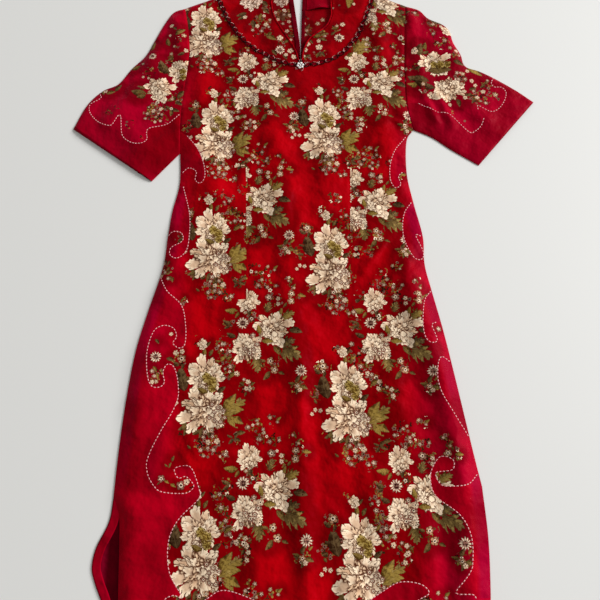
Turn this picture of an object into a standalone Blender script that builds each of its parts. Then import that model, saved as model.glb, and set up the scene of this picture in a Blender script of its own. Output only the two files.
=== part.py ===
"""A short-sleeved cheongsam dress, laid out flat with its front up.

X runs across the dress, +Y from hem to neck and +Z up from the surface that it lies on. The origin is on
that surface, under the middle of the dress. Left and right are those of the drawing, not the wearer's.
Curves and tables are in millimetres and everything that is built from them is in metres.
"""

import math

import bmesh
import bpy
import numpy as np

MM = 0.001

# Driving dimensions.
CLOTH = 1.2 * MM  # wall of a layer of cloth
FACING = 1.0 * MM  # wall of a facing
SEAM_GAP = 0.3 * MM  # between two pieces that are sewn together
AIR = 3.0 * MM  # how far the front layer stands off the back layer, away from the closed edges
EDGE_ROUND = 32.0 * MM  # distance from a closed edge at which the front layer has risen that far
FACING_WIDTH_LEFT, FACING_WIDTH_RIGHT = 9.0 * MM, 7.0 * MM
TRIM_WIDTH = 11.0 * MM
TRIM_THICKNESS = 1.6 * MM
PIPING_RADIUS = 1.5 * MM
FLOWER_RADIUS = 8.0 * MM
FLOWER_HEIGHT = 3.4 * MM
FLOWER_PETALS = 6
FOLDED_EDGE = 1.0 * MM  # how far in from a sleeve's folded edge its round ends

# Corners where the curves below meet, in millimetres: (across, along).
ARMPIT_LEFT, ARMPIT_RIGHT = (-233, 207), (204, 257)
SHOULDER_LEFT, SHOULDER_RIGHT = (-242, 538), (204, 544)
NECK_LEFT, NECK_RIGHT = (-88, 606), (69, 606)
SLIT_LEFT, SLIT_RIGHT = (-302, -400), (277, -386)
HEM_CENTRE = (-10, -600)
YOKE_BOTTOM = (-9, 398)
OPENING_BOTTOM = (-9, 413)

# The seams and edges, in millimetres: (across, along) of the knots of a smooth curve.
SIDE_LEFT = (SLIT_LEFT, (-300, -330), (-295, -250), (-286, -170), (-271, -103), (-250, -20), (-245, 40),
             (-240, 88), (-230, 145), ARMPIT_LEFT)
SIDE_RIGHT = (SLIT_RIGHT, (268, -336), (248, -215), (233, -130), (218, -60), (209, -12), (209, 40),
              (196, 106), (187, 165), (190, 232), ARMPIT_RIGHT)
SLIT_FRONT_LEFT = ((-277, -608), (-282, -548), (-287, -470), (-291, -428), SLIT_LEFT)
SLIT_BACK_LEFT = ((-298, -608), (-304, -560), (-318, -528), (-326, -504), (-322, -475), (-306, -438),
                  SLIT_LEFT)
SLIT_FRONT_RIGHT = ((272, -582), (277, -530), (280, -460), SLIT_RIGHT)
ARMHOLE_LEFT = (ARMPIT_LEFT, (-236, 290), (-230, 370), (-226, 424), (-232, 485), SHOULDER_LEFT)
ARMHOLE_RIGHT = (ARMPIT_RIGHT, (194, 305), (193, 360), (195, 416), (199, 480), SHOULDER_RIGHT)
SLEEVE_TOP_LEFT = (SHOULDER_LEFT, (-264, 529), (-281, 500), (-297, 462), (-313, 424), (-338, 394),
                   (-361, 359), (-390, 343), (-417, 311), (-438, 259))
SLEEVE_TOP_RIGHT = (SHOULDER_RIGHT, (231, 534), (248, 514), (276, 499), (289, 482), (294, 456), (307, 426),
                    (313, 400), (340, 388), (366, 373), (406, 345), (438, 318))
SLEEVE_UNDER_LEFT = (ARMPIT_LEFT, (-256, 180), (-282, 149))
SLEEVE_UNDER_RIGHT = (ARMPIT_RIGHT, (239, 240), (273, 214), (321, 182))
YOKE_SEAM_LEFT = (YOKE_BOTTOM, (-38, 403), (-72, 420), (-113, 449), (-142, 487), (-163, 528), (-177, 566.7))
YOKE_SEAM_RIGHT = (YOKE_BOTTOM, (30, 404), (66, 421), (98, 458), (118, 500), (132, 543), (143, 572))
NECKLINE_LEFT = ((-13, 411), (-19, 434), (-32, 460), (-47, 486), (-61, 514), (-67, 542), (-70, 570), NECK_LEFT)
NECKLINE_RIGHT = ((-5, 411), (-2, 436), (10, 462), (30, 480), (45, 496), (53, 520), (53, 545), (54, 570),
                  NECK_RIGHT)
OPENING_LEFT = (OPENING_BOTTOM, (-10, 451), (-16, 506), (-23, 562), (-26, 590))
OPENING_RIGHT = (OPENING_BOTTOM, (-8, 451), (-7, 506), (-5, 562), (-4, 590))
BACK_NECK_LEFT = ((-26, 590), (-58, 593), (-76, 598), NECK_LEFT)
BACK_NECK_RIGHT = ((-4, 590), (35, 593), (56, 598), NECK_RIGHT)

# The facings along the back neck: the lower corners nearest and farthest from the opening, then the upper
# edge from its far end to the opening. The right one hangs lower.
NECK_FACING_LEFT = ((-33.5, 566), (-84, 574), (-82, 598.6), (-58, 592.4), (-36.3, 590))
NECK_FACING_RIGHT = ((2.6, 534), (60, 540), (61, 598.2), (35, 592.4), (4, 590))

# The largest folds of the front layer and the sleeves, in millimetres: the two ends of the crest, then the
# height and the half width of the soft ridge.
FOLD_COLUMNS = ("from_across", "from_along", "to_across", "to_along", "height", "half_width")
FOLDS = (
    (-53, 243, 1, 15, 4, 24),
    (1, 15, 7, -123, 4, 24),
    (2, -190, 8, -580, 5, 26),
    (-205, 0, -222, -150, 7, 32),
    (-222, -150, -240, -440, 6, 34),
    (183, 66, 188, -10, 6, 24),
    (190, -60, 222, -230, 5, 22),
    (235, -230, 250, -570, 6, 24),
    (-150, -300, -172, -590, 4, 34),
    (120, -330, 150, -590, 4, 34),
    (-160, 330, -60, 250, 4, 38),
    (130, 330, 56, 240, 4, 38),
    (-196, 260, -188, 420, 3, 24),
    (162, 285, 160, 430, 3, 24),
    (-345, 350, -285, 300, 5, 26),
    (-300, 410, -262, 470, 4, 22),
    (266, 470, 286, 410, 6, 24),
    (250, 400, 370, 300, 3, 22),
)

# Steps along each stretch of a panel's edge, and across it.
SLIT_STEPS, SIDE_STEPS, CENTRE_STEPS, YOKE_STEPS = 7, 20, 4, 14
ARMHOLE_STEPS = CENTRE_STEPS + YOKE_STEPS
PANEL_ACROSS, BACK_ACROSS, YOKE_ACROSS, SLEEVE_STEPS = 14, 7, 5, 12
FACING_STEPS, FACING_ACROSS = 10, 3


def curve_through(knots, steps):
    """Points evenly spaced along a Catmull-Rom curve through the knots, given in millimetres."""
    knots = np.array(knots, float) * MM
    if len(knots) == 2:
        return np.linspace(knots[0], knots[1], steps + 1)
    ends = (2 * knots[0] - knots[1], 2 * knots[-1] - knots[-2])
    padded = np.vstack([ends[0], knots, ends[1]])
    fine = []
    for before, here, there, after in zip(padded, padded[1:], padded[2:], padded[3:]):
        t = np.linspace(0, 1, 12, endpoint=False)[:, None]
        fine.append(0.5 * (2 * here + (there - before) * t
                           + (2 * before - 5 * here + 4 * there - after) * t**2
                           + (3 * here - before - 3 * there + after) * t**3))
    fine = np.vstack([*fine, knots[-1:]])
    return evenly(fine, steps)


def evenly(points, steps):
    """The same route with evenly spaced points."""
    run = np.concatenate([[0], np.cumsum(np.hypot(*np.diff(points, axis=0).T))])
    at = np.linspace(0, run[-1], steps + 1)
    return np.column_stack([np.interp(at, run, points[:, 0]), np.interp(at, run, points[:, 1])])


def joined(*stretches):
    """Stretches that follow each other, with their shared ends once."""
    return np.vstack([stretches[0], *[stretch[1:] for stretch in stretches[1:]]])


def moved_left(points, distance):
    """The route moved by a distance to the left of its direction."""
    along = np.gradient(points, axis=0)
    along /= np.hypot(*along.T)[:, None]
    return points + distance * np.column_stack([-along[:, 1], along[:, 0]])


def straight(start, end, steps):
    return np.linspace(start, end, steps + 1)


def closed_edges():
    """The outline along which the front layer comes down to the back layer."""
    routes = (
        joined(curve_through(SLIT_FRONT_LEFT, 8), curve_through(SIDE_LEFT, 32),
               curve_through(SLEEVE_UNDER_LEFT, 6)),
        joined(curve_through(SLIT_FRONT_RIGHT, 8), curve_through(SIDE_RIGHT, 32),
               curve_through(SLEEVE_UNDER_RIGHT, 8)),
        joined(curve_through((NECK_LEFT, SHOULDER_LEFT), 2), curve_through(SLEEVE_TOP_LEFT, 24)),
        joined(curve_through((NECK_RIGHT, SHOULDER_RIGHT), 2), curve_through(SLEEVE_TOP_RIGHT, 24)),
    )
    return [(route[:-1], route[1:]) for route in routes]


CLOSED_EDGES = closed_edges()


def distance_to(points, start, end):
    """The distance from each point to the straight line between two ends."""
    run = end - start
    share = np.clip(((points - start) @ run) / (run @ run), 0, 1)
    return np.hypot(*(points - start - share[..., None] * run).T).T


def edge_distance(points):
    near = np.full(points.shape[:-1], np.inf)
    for starts, ends in CLOSED_EDGES:
        for start, end in zip(starts, ends):
            near = np.minimum(near, distance_to(points, start, end))
    return near


def folds_at(points):
    """The height that the folds add: Gaussian ridges round their crests, joined smoothly where they meet."""
    cubes = np.zeros(points.shape[:-1])
    for row in FOLDS:
        fold = dict(zip(FOLD_COLUMNS, np.array(row, float) * MM))
        start = np.array([fold["from_across"], fold["from_along"]])
        end = np.array([fold["to_across"], fold["to_along"]])
        ridge = fold["height"] * np.exp(-((distance_to(points, start, end) / fold["half_width"]) ** 2))
        cubes += ridge**3
    return np.cbrt(cubes)


def upper_layer(points):
    """The underside of the front layer: just over the back at closed edges, and rounding up inside them."""
    inside = np.clip(edge_distance(points) / EDGE_ROUND, 0, 1)
    rise = 1 - (1 - inside) ** 2
    return CLOTH + SEAM_GAP + (AIR + folds_at(points)) * rise


def on_back(points):
    return np.full(points.shape[:-1], CLOTH + SEAM_GAP)


def on_surface(points):
    return np.zeros(points.shape[:-1])


def patch(left, right, near, far):
    """A grid of points inside four edges: both ways between opposite edges, less the corners counted twice."""
    u = np.linspace(0, 1, len(near))[None, :, None]
    v = np.linspace(0, 1, len(left))[:, None, None]
    corners = ((1 - u) * (1 - v) * left[0] + u * (1 - v) * right[0] + (1 - u) * v * left[-1]
               + u * v * right[-1])
    return ((1 - u) * left[:, None] + u * right[:, None] + (1 - v) * near[None] + v * far[None]
            - corners)


def side_rail(slit, side, armhole, inset):
    """The outer edge of a panel, from the hem to the shoulder. The armhole is drawn in for its seam."""
    upper = moved_left(curve_through(armhole, ARMHOLE_STEPS), inset)
    lower = joined(curve_through(slit, SLIT_STEPS), curve_through(side, SIDE_STEPS))
    return np.vstack([lower[:-1], upper])


def material(name, colour, roughness, metallic=0.0):
    made = bpy.data.materials.new(name)
    made.use_nodes = True
    shader = made.node_tree.nodes["Principled BSDF"]
    shader.inputs["Base Color"].default_value = (*colour, 1)
    shader.inputs["Roughness"].default_value = roughness
    shader.inputs["Metallic"].default_value = metallic
    return made


def add_object(name, mesh_edit, finish, collection):
    mesh = bpy.data.meshes.new(name)
    bmesh.ops.recalc_face_normals(mesh_edit, faces=mesh_edit.faces)
    mesh_edit.to_mesh(mesh)
    mesh_edit.free()
    mesh.materials.append(finish)
    mesh.shade_smooth()
    mesh.set_sharp_from_angle(angle=math.radians(40))
    made = bpy.data.objects.new(name, mesh)
    collection.objects.link(made)
    return made


def add_panel(name, grids, level, thickness, finish, collection):
    """A flat piece of cloth: grids of plan points laid at their level, welded, and raised by a thickness."""
    work = bmesh.new()
    for grid in grids:
        heights = level(grid)
        rows = [[work.verts.new((*point, height)) for point, height in zip(*row)]
                for row in zip(grid, heights)]
        for row, above in zip(rows, rows[1:]):
            for first, second, third, fourth in zip(row, row[1:], above[1:], above):
                work.faces.new((first, second, third, fourth))
    bmesh.ops.remove_doubles(work, verts=work.verts, dist=1e-5)
    raised = bmesh.ops.extrude_face_region(work, geom=work.faces[:], use_keep_orig=True)
    top = [item for item in raised["geom"] if isinstance(item, bmesh.types.BMVert)]
    bmesh.ops.translate(work, verts=top, vec=(0, 0, thickness))
    return add_object(name, work, finish, collection)


def add_tube_of_cloth(name, grid, finish, collection):
    """A flattened sleeve: rings across the grid's rows, each with an outer and an inner loop of the wall."""
    work = bmesh.new()
    rings = [(ring_of(row, 0.0, work), ring_of(row, CLOTH, work)) for row in grid]
    for (outer, inner), (next_outer, next_inner) in zip(rings, rings[1:]):
        bridge(work, outer, next_outer)
        bridge(work, inner, next_inner)
    for outer, inner in (rings[0], rings[-1]):
        bridge(work, outer, inner)
    return add_object(name, work, finish, collection)


def ring_of(row, inset, work):
    """One loop of a sleeve's wall, drawn in by the inset: out along the table, back over the top."""
    across = row[-1] - row[0]
    width = np.hypot(*across)
    middle = (CLOTH * 2 + SEAM_GAP) / 2
    shares = np.linspace(0, 1, len(row))
    margin = (FOLDED_EDGE + inset) / width
    squeezed = margin + shares * (1 - 2 * margin)
    points = np.column_stack([np.interp(squeezed, shares, row[:, axis]) for axis in (0, 1)])
    tips = [row[0] + across * inset / width, row[-1] - across * inset / width]
    over = upper_layer(points) + CLOTH - inset
    under = [(*point, inset) for point in points]
    back = [(*point, height) for point, height in zip(points, over)][::-1]
    loop = [*under, (*tips[1], middle), *back, (*tips[0], middle)]
    return [work.verts.new(point) for point in loop]


def bridge(work, loop, other):
    count = len(loop)
    for here in range(count):
        there = (here + 1) % count
        work.faces.new((loop[here], loop[there], other[there], other[here]))


def add_piping(name, route, finish, collection):
    """A round roll along the neckline, resting at the height of the yoke's underside."""
    curve = bpy.data.curves.new(name, "CURVE")
    curve.dimensions = "3D"
    curve.bevel_depth = PIPING_RADIUS
    curve.bevel_resolution = 1
    curve.use_fill_caps = True
    spline = curve.splines.new("POLY")
    spline.points.add(len(route) - 1)
    heights = upper_layer(route) + PIPING_RADIUS
    for knot, point, height in zip(spline.points, route, heights):
        knot.co = (*point, height, 1)
    curve.materials.append(finish)
    made = bpy.data.objects.new(name, curve)
    collection.objects.link(made)
    return made


def add_flower(name, centre, finish, collection):
    """A flat-backed stone-set flower: a squashed ball whose rim swells into petals."""
    work = bmesh.new()
    bmesh.ops.create_uvsphere(work, u_segments=36, v_segments=6, radius=1)
    level = float(upper_layer(centre)) + CLOTH + TRIM_THICKNESS + 2 * SEAM_GAP
    for vertex in work.verts:
        x, y, z = vertex.co
        petal = 0.82 + 0.18 * math.cos(FLOWER_PETALS * math.atan2(y, x))
        rise = z * (1 if z > 0 else 0.25)
        vertex.co = (centre[0] + FLOWER_RADIUS * petal * x, centre[1] + FLOWER_RADIUS * petal * y,
                     level + FLOWER_HEIGHT * (rise + 0.25) / 1.25)
    return add_object(name, work, finish, collection)


def front_panel(print_red, collection):
    """The front below the yoke seam: two halves that share the centre line."""
    centre_low = curve_through((HEM_CENTRE, (-10, SLIT_LEFT[1])), SLIT_STEPS)
    centre_side = curve_through(((-10, SLIT_LEFT[1]), (-9, ARMPIT_LEFT[1] + 30)), SIDE_STEPS)
    centre_top = curve_through(((-9, ARMPIT_LEFT[1] + 30), YOKE_BOTTOM), CENTRE_STEPS)
    grids = []
    for slit, side, armhole, seam, turn in (
        (SLIT_FRONT_LEFT, SIDE_LEFT, ARMHOLE_LEFT, YOKE_SEAM_LEFT, -1),
        (SLIT_FRONT_RIGHT, SIDE_RIGHT, ARMHOLE_RIGHT, YOKE_SEAM_RIGHT, 1),
    ):
        outer = side_rail(slit, side, armhole, turn * SEAM_GAP / 2)
        around = moved_left(curve_through(seam, YOKE_STEPS), -turn * SEAM_GAP / 2)
        around[0] = centre_top[-1]
        inner = joined(centre_low, centre_side, centre_top, around)
        grids.append(patch(outer, inner, straight(outer[0], inner[0], PANEL_ACROSS),
                           straight(outer[-1], inner[-1], PANEL_ACROSS)))
    add_panel("front_body", grids, upper_layer, CLOTH, print_red, collection)


def yokes(print_red, collection):
    """The two halves of the yoke, between the yoke seam and the neckline's piping."""
    for side, seam, neckline, turn in (("left", YOKE_SEAM_LEFT, NECKLINE_LEFT, 1),
                                       ("right", YOKE_SEAM_RIGHT, NECKLINE_RIGHT, -1)):
        outer = moved_left(curve_through(seam, YOKE_STEPS), -turn * SEAM_GAP / 2)
        outer[0, 0] -= turn * SEAM_GAP
        inner = moved_left(curve_through(neckline, YOKE_STEPS), turn * (PIPING_RADIUS + SEAM_GAP))
        grid = patch(outer, inner, straight(outer[0], inner[0], YOKE_ACROSS),
                     straight(outer[-1], inner[-1], YOKE_ACROSS))
        add_panel(f"front_yoke_{side}", [grid], upper_layer, CLOTH, print_red, collection)


def backs(print_red, collection):
    """The two back panels, with the seam between them and the opening at its top."""
    for side, slit, body, armhole, opening, neck, turn in (
        ("left", SLIT_BACK_LEFT, SIDE_LEFT, ARMHOLE_LEFT, OPENING_LEFT, BACK_NECK_LEFT, 1),
        ("right", SLIT_FRONT_RIGHT, SIDE_RIGHT, ARMHOLE_RIGHT, OPENING_RIGHT, BACK_NECK_RIGHT, -1),
    ):
        outer = side_rail(slit, body, armhole, -turn * SEAM_GAP / 2)
        opening_steps = 10
        seam = curve_through((HEM_CENTRE, OPENING_BOTTOM), len(outer) - 1 - opening_steps)
        inner = moved_left(joined(seam, curve_through(opening, opening_steps)), turn * SEAM_GAP / 2)
        inner[-1] = np.array(opening[-1]) * MM
        shoulder = curve_through((np.array(outer[-1]) / MM, neck[-1]), BACK_ACROSS)
        far = joined(shoulder, curve_through(neck, 6)[::-1])
        grid = patch(outer, inner, straight(outer[0], inner[0], len(far) - 1), far)
        add_panel(f"back_{side}", [grid], on_surface, CLOTH, print_red, collection)


def facings(plain_red, collection):
    """On the inside of the back: a strip along each edge of the opening, and one along each half of the neck."""
    for side, opening, width, turn in (("left", OPENING_LEFT, FACING_WIDTH_LEFT, 1),
                                       ("right", OPENING_RIGHT, FACING_WIDTH_RIGHT, -1)):
        edge = moved_left(curve_through(opening, FACING_STEPS), turn * SEAM_GAP)
        outer = moved_left(edge, turn * width)
        grid = patch(edge, outer, straight(edge[0], outer[0], FACING_ACROSS),
                     straight(edge[-1], outer[-1], FACING_ACROSS))
        add_panel(f"back_opening_facing_{side}", [grid], on_back, FACING, plain_red, collection)
    for side, corners in (("left", NECK_FACING_LEFT), ("right", NECK_FACING_RIGHT)):
        low_inner, low_outer, top_outer, top_middle, top_inner = corners
        inner = curve_through((low_inner, top_inner), FACING_ACROSS)
        outer = curve_through((low_outer, top_outer), FACING_ACROSS)
        grid = patch(inner, outer, curve_through((low_inner, low_outer), FACING_STEPS),
                     curve_through((top_inner, top_middle, top_outer), FACING_STEPS))
        add_panel(f"back_neck_facing_{side}", [grid], on_back, FACING, plain_red, collection)


def sleeves(print_red, collection):
    for side, armhole, top, under, turn in (("left", ARMHOLE_LEFT, SLEEVE_TOP_LEFT, SLEEVE_UNDER_LEFT, 1),
                                            ("right", ARMHOLE_RIGHT, SLEEVE_TOP_RIGHT, SLEEVE_UNDER_RIGHT, -1)):
        seam = moved_left(curve_through(armhole, ARMHOLE_STEPS), turn * SEAM_GAP / 2)[::-1]
        upper = curve_through(top, SLEEVE_STEPS)
        lower = curve_through(under, SLEEVE_STEPS)
        upper[0], lower[0] = seam[0], seam[-1]
        grid = patch(upper, lower, seam, straight(upper[-1], lower[-1], ARMHOLE_STEPS))
        add_tube_of_cloth(f"sleeve_{side}", grid, print_red, collection)


def trim(bead_brown, collection):
    """The beaded strip that covers the yoke seam, from shoulder to shoulder."""
    seam = joined(curve_through(YOKE_SEAM_LEFT, 22)[::-1], curve_through(YOKE_SEAM_RIGHT, 22))
    below = moved_left(seam, -TRIM_WIDTH / 2)
    above = moved_left(seam, TRIM_WIDTH / 2)
    grid = patch(below, above, straight(below[0], above[0], 3), straight(below[-1], above[-1], 3))

    def level(points):
        return upper_layer(points) + CLOTH + SEAM_GAP

    add_panel("neck_trim", [grid], level, TRIM_THICKNESS, bead_brown, collection)


def build():
    for old in list(bpy.data.objects):
        bpy.data.objects.remove(old)
    collection = bpy.data.collections.new("Cheongsam dress")
    bpy.context.scene.collection.children.link(collection)
    print_red = material("Printed red satin", (0.52, 0.004, 0.018), 0.42)
    plain_red = material("Plain red lining", (0.22, 0.003, 0.012), 0.5)
    piping_red = material("Red piping", (0.42, 0.004, 0.015), 0.4)
    bead_brown = material("Dark brown beads", (0.03, 0.008, 0.006), 0.25)
    stone = material("Clear stones", (0.8, 0.82, 0.8), 0.08, 0.6)
    backs(print_red, collection)
    facings(plain_red, collection)
    front_panel(print_red, collection)
    yokes(print_red, collection)
    sleeves(print_red, collection)
    trim(bead_brown, collection)
    for side, neckline in (("left", NECKLINE_LEFT), ("right", NECKLINE_RIGHT)):
        add_piping(f"neck_piping_{side}", curve_through(neckline, YOKE_STEPS), piping_red, collection)
    add_flower("neck_flower", np.array(YOKE_BOTTOM) * MM, stone, collection)


build()
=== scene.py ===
"""A printed red satin cheongsam dress, laid out flat on a pale table with its front up.

Lengths are in metres. Tables of places on the dress are in millimetres, across and along it from the middle
of its outline, and they are scaled where they are read. Left and right are the viewer's.
"""

import math

import bmesh
import bpy
import numpy as np
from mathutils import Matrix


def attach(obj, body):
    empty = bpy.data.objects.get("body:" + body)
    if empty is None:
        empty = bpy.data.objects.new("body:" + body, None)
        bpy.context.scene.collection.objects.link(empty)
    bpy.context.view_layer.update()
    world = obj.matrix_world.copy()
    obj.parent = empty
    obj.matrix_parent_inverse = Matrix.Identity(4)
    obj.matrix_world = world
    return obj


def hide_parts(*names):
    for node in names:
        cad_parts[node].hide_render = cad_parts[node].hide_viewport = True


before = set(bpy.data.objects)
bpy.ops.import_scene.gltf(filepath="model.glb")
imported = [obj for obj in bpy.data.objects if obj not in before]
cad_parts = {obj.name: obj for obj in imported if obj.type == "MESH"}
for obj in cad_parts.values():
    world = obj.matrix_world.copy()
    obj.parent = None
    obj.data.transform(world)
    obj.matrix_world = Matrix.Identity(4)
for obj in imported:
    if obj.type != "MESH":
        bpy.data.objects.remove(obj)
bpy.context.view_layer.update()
MM = 0.001


# Camera: just over the dress, tipped 17 degrees toward the neck, with a 53 degree lens.

CAMERA_PLACE, CAMERA_TIP = (-0.0097, -0.381, 0.991), 17.0
camera = bpy.data.objects.new("camera", bpy.data.cameras.new("camera"))
camera.data.sensor_width = 36.0
camera.data.lens = 36.0
camera.location = CAMERA_PLACE
camera.rotation_euler = (math.radians(CAMERA_TIP), 0, 0)
bpy.context.collection.objects.link(camera)
bpy.context.scene.camera = camera
bpy.context.scene.view_settings.view_transform = "Standard"


# Printed satin: woven red, then printed with one large floral repeat. The repeat has two groups of peonies
# that take turns down the cloth. Each kind of shape is a layer, and a corner attribute tells each corner its
# place in the nearest shape of that layer, so that one set of nodes draws them all.


class Wire:
    """One socket of a material's nodes. Arithmetic on it, from either side, adds Math nodes."""

    def __init__(self, tree, socket):
        self.tree, self.socket = tree, socket

    def also(self, name):
        """Another output of the same node."""
        return Wire(self.tree, self.socket.node.outputs[name])

    def maths(self, operation, *values):
        return node(self.tree, "Math", {"operation": operation}, dict(enumerate(values)))

    def __add__(self, other):
        return self.maths("ADD", self, other)

    def __sub__(self, other):
        return self.maths("SUBTRACT", self, other)

    def __rsub__(self, other):
        return self.maths("SUBTRACT", other, self)

    def __mul__(self, other):
        return self.maths("MULTIPLY", self, other)

    def __truediv__(self, other):
        return self.maths("DIVIDE", self, other)

    def __rtruediv__(self, other):
        return self.maths("DIVIDE", other, self)

    def __pow__(self, power):
        return self.maths("POWER", self, power)

    def __lt__(self, other):
        return self.maths("LESS_THAN", self, other)

    def __gt__(self, other):
        return self.maths("GREATER_THAN", self, other)

    def __mod__(self, other):
        return self.maths("FLOORED_MODULO", self, other)

    def __abs__(self):
        return self.maths("ABSOLUTE", self)

    __radd__, __rmul__ = __add__, __mul__


def feed(tree, made, inputs):
    """Gives a node's sockets their values or wires."""
    for name, value in inputs.items():
        if isinstance(value, Wire):
            tree.links.new(value.socket, made.inputs[name])
        else:
            made.inputs[name].default_value = value


def node(tree, kind, settings, inputs):
    """A new node with its settings and then its sockets. Gives its first output."""
    made = tree.nodes.new("ShaderNode" + kind)
    for name, value in settings.items():
        setattr(made, name, value)
    feed(tree, made, inputs)
    return Wire(tree, next(socket for socket in made.outputs if socket.enabled))


def noise(place, scale, detail=2.0, rough=0.5):
    return node(place.tree, "TexNoise", {},
                {"Vector": place, "Scale": scale, "Detail": detail, "Roughness": rough})


def between(wire, start, end, most=1.0):
    """0 before start and the most after end, with a smooth step between. It falls if start is over end."""
    return node(wire.tree, "MapRange", {"interpolation_type": "SMOOTHSTEP"},
                {0: wire, 1: start, 2: end, 4: most})


def lower_of(first, second):
    return first.maths("MINIMUM", first, second)


def sine(wire):
    return wire.maths("SINE", wire)


def cosine(wire):
    return wire.maths("COSINE", wire)


def zigzag(wire):
    """0 at whole numbers and 0.5 halfway between them."""
    return wire.maths("PINGPONG", wire, 0.5)


def blend(factor, first, second):
    """The first colour where the factor is 0, and the second where it is 1."""
    return node(factor.tree, "Mix", {"data_type": "RGBA"}, {0: factor, 6: first, 7: second})


def parts_of(vector):
    x = node(vector.tree, "SeparateXYZ", {}, {0: vector})
    return x, x.also("Y"), x.also("Z")


def channels_of(colour):
    """The three channels of a colour. Noise gives its independent values this way."""
    red = node(colour.tree, "SeparateColor", {}, {0: colour})
    return red, red.also("Green"), red.also("Blue")


def chance_of(wire):
    """A number from 0 to 1 that looks random and is the same for the same input."""
    return node(wire.tree, "TexWhiteNoise", {"noise_dimensions": "1D"}, {"W": wire})


def ink(red, green, blue):
    """The light that a colour sends back, from its usual numbers of 0 to 255."""
    parts = [part / 255 for part in (red, green, blue)]
    light = [part / 12.92 if part < 0.04045 else ((part + 0.055) / 1.055) ** 2.4 for part in parts]
    return (*light, 1)


CREAM, WARM_CREAM, SHADED_CREAM = ink(255, 230, 198), ink(242, 206, 168), ink(190, 142, 106)
LINE_BROWN, DARK_BROWN, TAUPE, MAUVE = ink(84, 44, 24), ink(44, 12, 8), ink(112, 76, 60), ink(156, 108, 92)
OLIVE, DEEP_OLIVE, PALE_OLIVE = ink(160, 132, 62), ink(84, 58, 16), ink(188, 160, 92)
GREY_GREEN, DEEP_GREEN = ink(96, 74, 50), ink(42, 20, 10)


def drawing(name, draw, *inputs):
    """A node group with what draw returns, a colour and where it covers, for the inputs that are named."""
    group = bpy.data.node_groups.new(name, "ShaderNodeTree")
    for socket, kind in inputs:
        group.interface.new_socket(name=socket, in_out="INPUT", socket_type="NodeSocket" + kind)
    group.interface.new_socket(name="Colour", in_out="OUTPUT", socket_type="NodeSocketColor")
    group.interface.new_socket(name="Cover", in_out="OUTPUT", socket_type="NodeSocketFloat")
    given = group.nodes.new("NodeGroupInput")
    result = group.nodes.new("NodeGroupOutput")
    drawn = draw(*[Wire(group, given.outputs[socket]) for socket, _ in inputs])
    for wire, socket in zip(drawn, result.inputs):
        group.links.new(wire.socket, socket)
    return group


PETAL_RINGS = ((1.0, 9), (0.82, 10), (0.64, 9), (0.47, 7), (0.31, 6), (0.16, 4))


def peony(shape):
    """A full flower, as rings of petals that are drawn from the outside in, each ring over the last.

    With (x, y) in flower radii, a ring of radius R and n petals has its tips at
    R (1 - chance - side^3 - notch^2), where side and notch run from 0 at the middle of a petal, or of a
    third of one, to 1 at its edge. The rings' middles move down toward the flower's heart. The fraction of
    the seed says how far, and an odd whole part makes the flower pinker.
    """
    x, y, seed = parts_of(shape)
    heart = seed % 1
    number = seed - heart
    ragged = node(shape.tree, "TexNoise", {"noise_dimensions": "4D"},
                  {"Vector": shape, "W": number, "Scale": 2.2, "Detail": 3.0, "Roughness": 0.64})
    shift_x, shift_y, _ = channels_of(ragged.also("Color"))
    x = (x + (shift_x - 0.5) * 0.5) * 0.88
    y = (y + (shift_y - 0.5) * 0.5) * 0.88
    pinker = number % 2
    pale, warm = blend(pinker, CREAM, ink(252, 224, 200)), blend(pinker, WARM_CREAM, ink(238, 200, 172))
    shaded = blend(pinker, SHADED_CREAM, ink(194, 142, 114))
    square_x, lot = x * x, number * 7.31
    colour, cover = CREAM, 0.0
    for ring, (radius, count) in enumerate(PETAL_RINGS):
        down = heart.maths("MULTIPLY_ADD", heart, 1 - radius, y)
        reach = down.maths("MULTIPLY_ADD", down, down, square_x) ** 0.5
        angle = x.maths("ARCTAN2", x, down)
        turns = angle.maths("MULTIPLY_ADD", angle, count / math.tau, 0.37 * ring)
        chance = chance_of(turns.maths("FLOOR", turns) % count + (31.7 * ring + 0.13) + lot)
        middle, lobe = zigzag(turns), zigzag(turns * 3)
        tip = chance.maths("MULTIPLY_ADD", chance, -0.36 * radius, 1.04 * radius)
        side_dip = chance.maths("MULTIPLY_ADD", (0.5 - middle) ** 3, -3.4 * radius, tip)
        tip = chance.maths("MULTIPLY_ADD", (0.5 - lobe) ** 2, -0.36 * radius, side_dip)
        depth = tip - reach
        side_gap = middle * reach * (math.tau / count)
        lobe_gap = lobe * reach
        lobe_gap = reach.maths("MULTIPLY_ADD", lobe_gap, 0.6 * math.tau / count,
                               between(depth, 0.12 * radius, 0.34 * radius))
        gap = lower_of(lower_of(depth, side_gap), lobe_gap)
        petal = blend(between(depth, 0.05, 0.3, 0.62), blend(between(chance, 0.3, 0.8), pale, warm), shaded)
        petal = blend(between(gap / (0.45 + chance), 0.05, 0.012, 1.0), petal, LINE_BROWN)
        inside = depth > 0
        if ring:
            petal = blend(inside, blend(between(depth, -0.09, 0.0, 0.55), colour, LINE_BROWN), petal)
        colour = petal
        cover = inside if ring == 0 else cover.maths("MAXIMUM", cover, inside)
    return colour, cover


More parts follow.
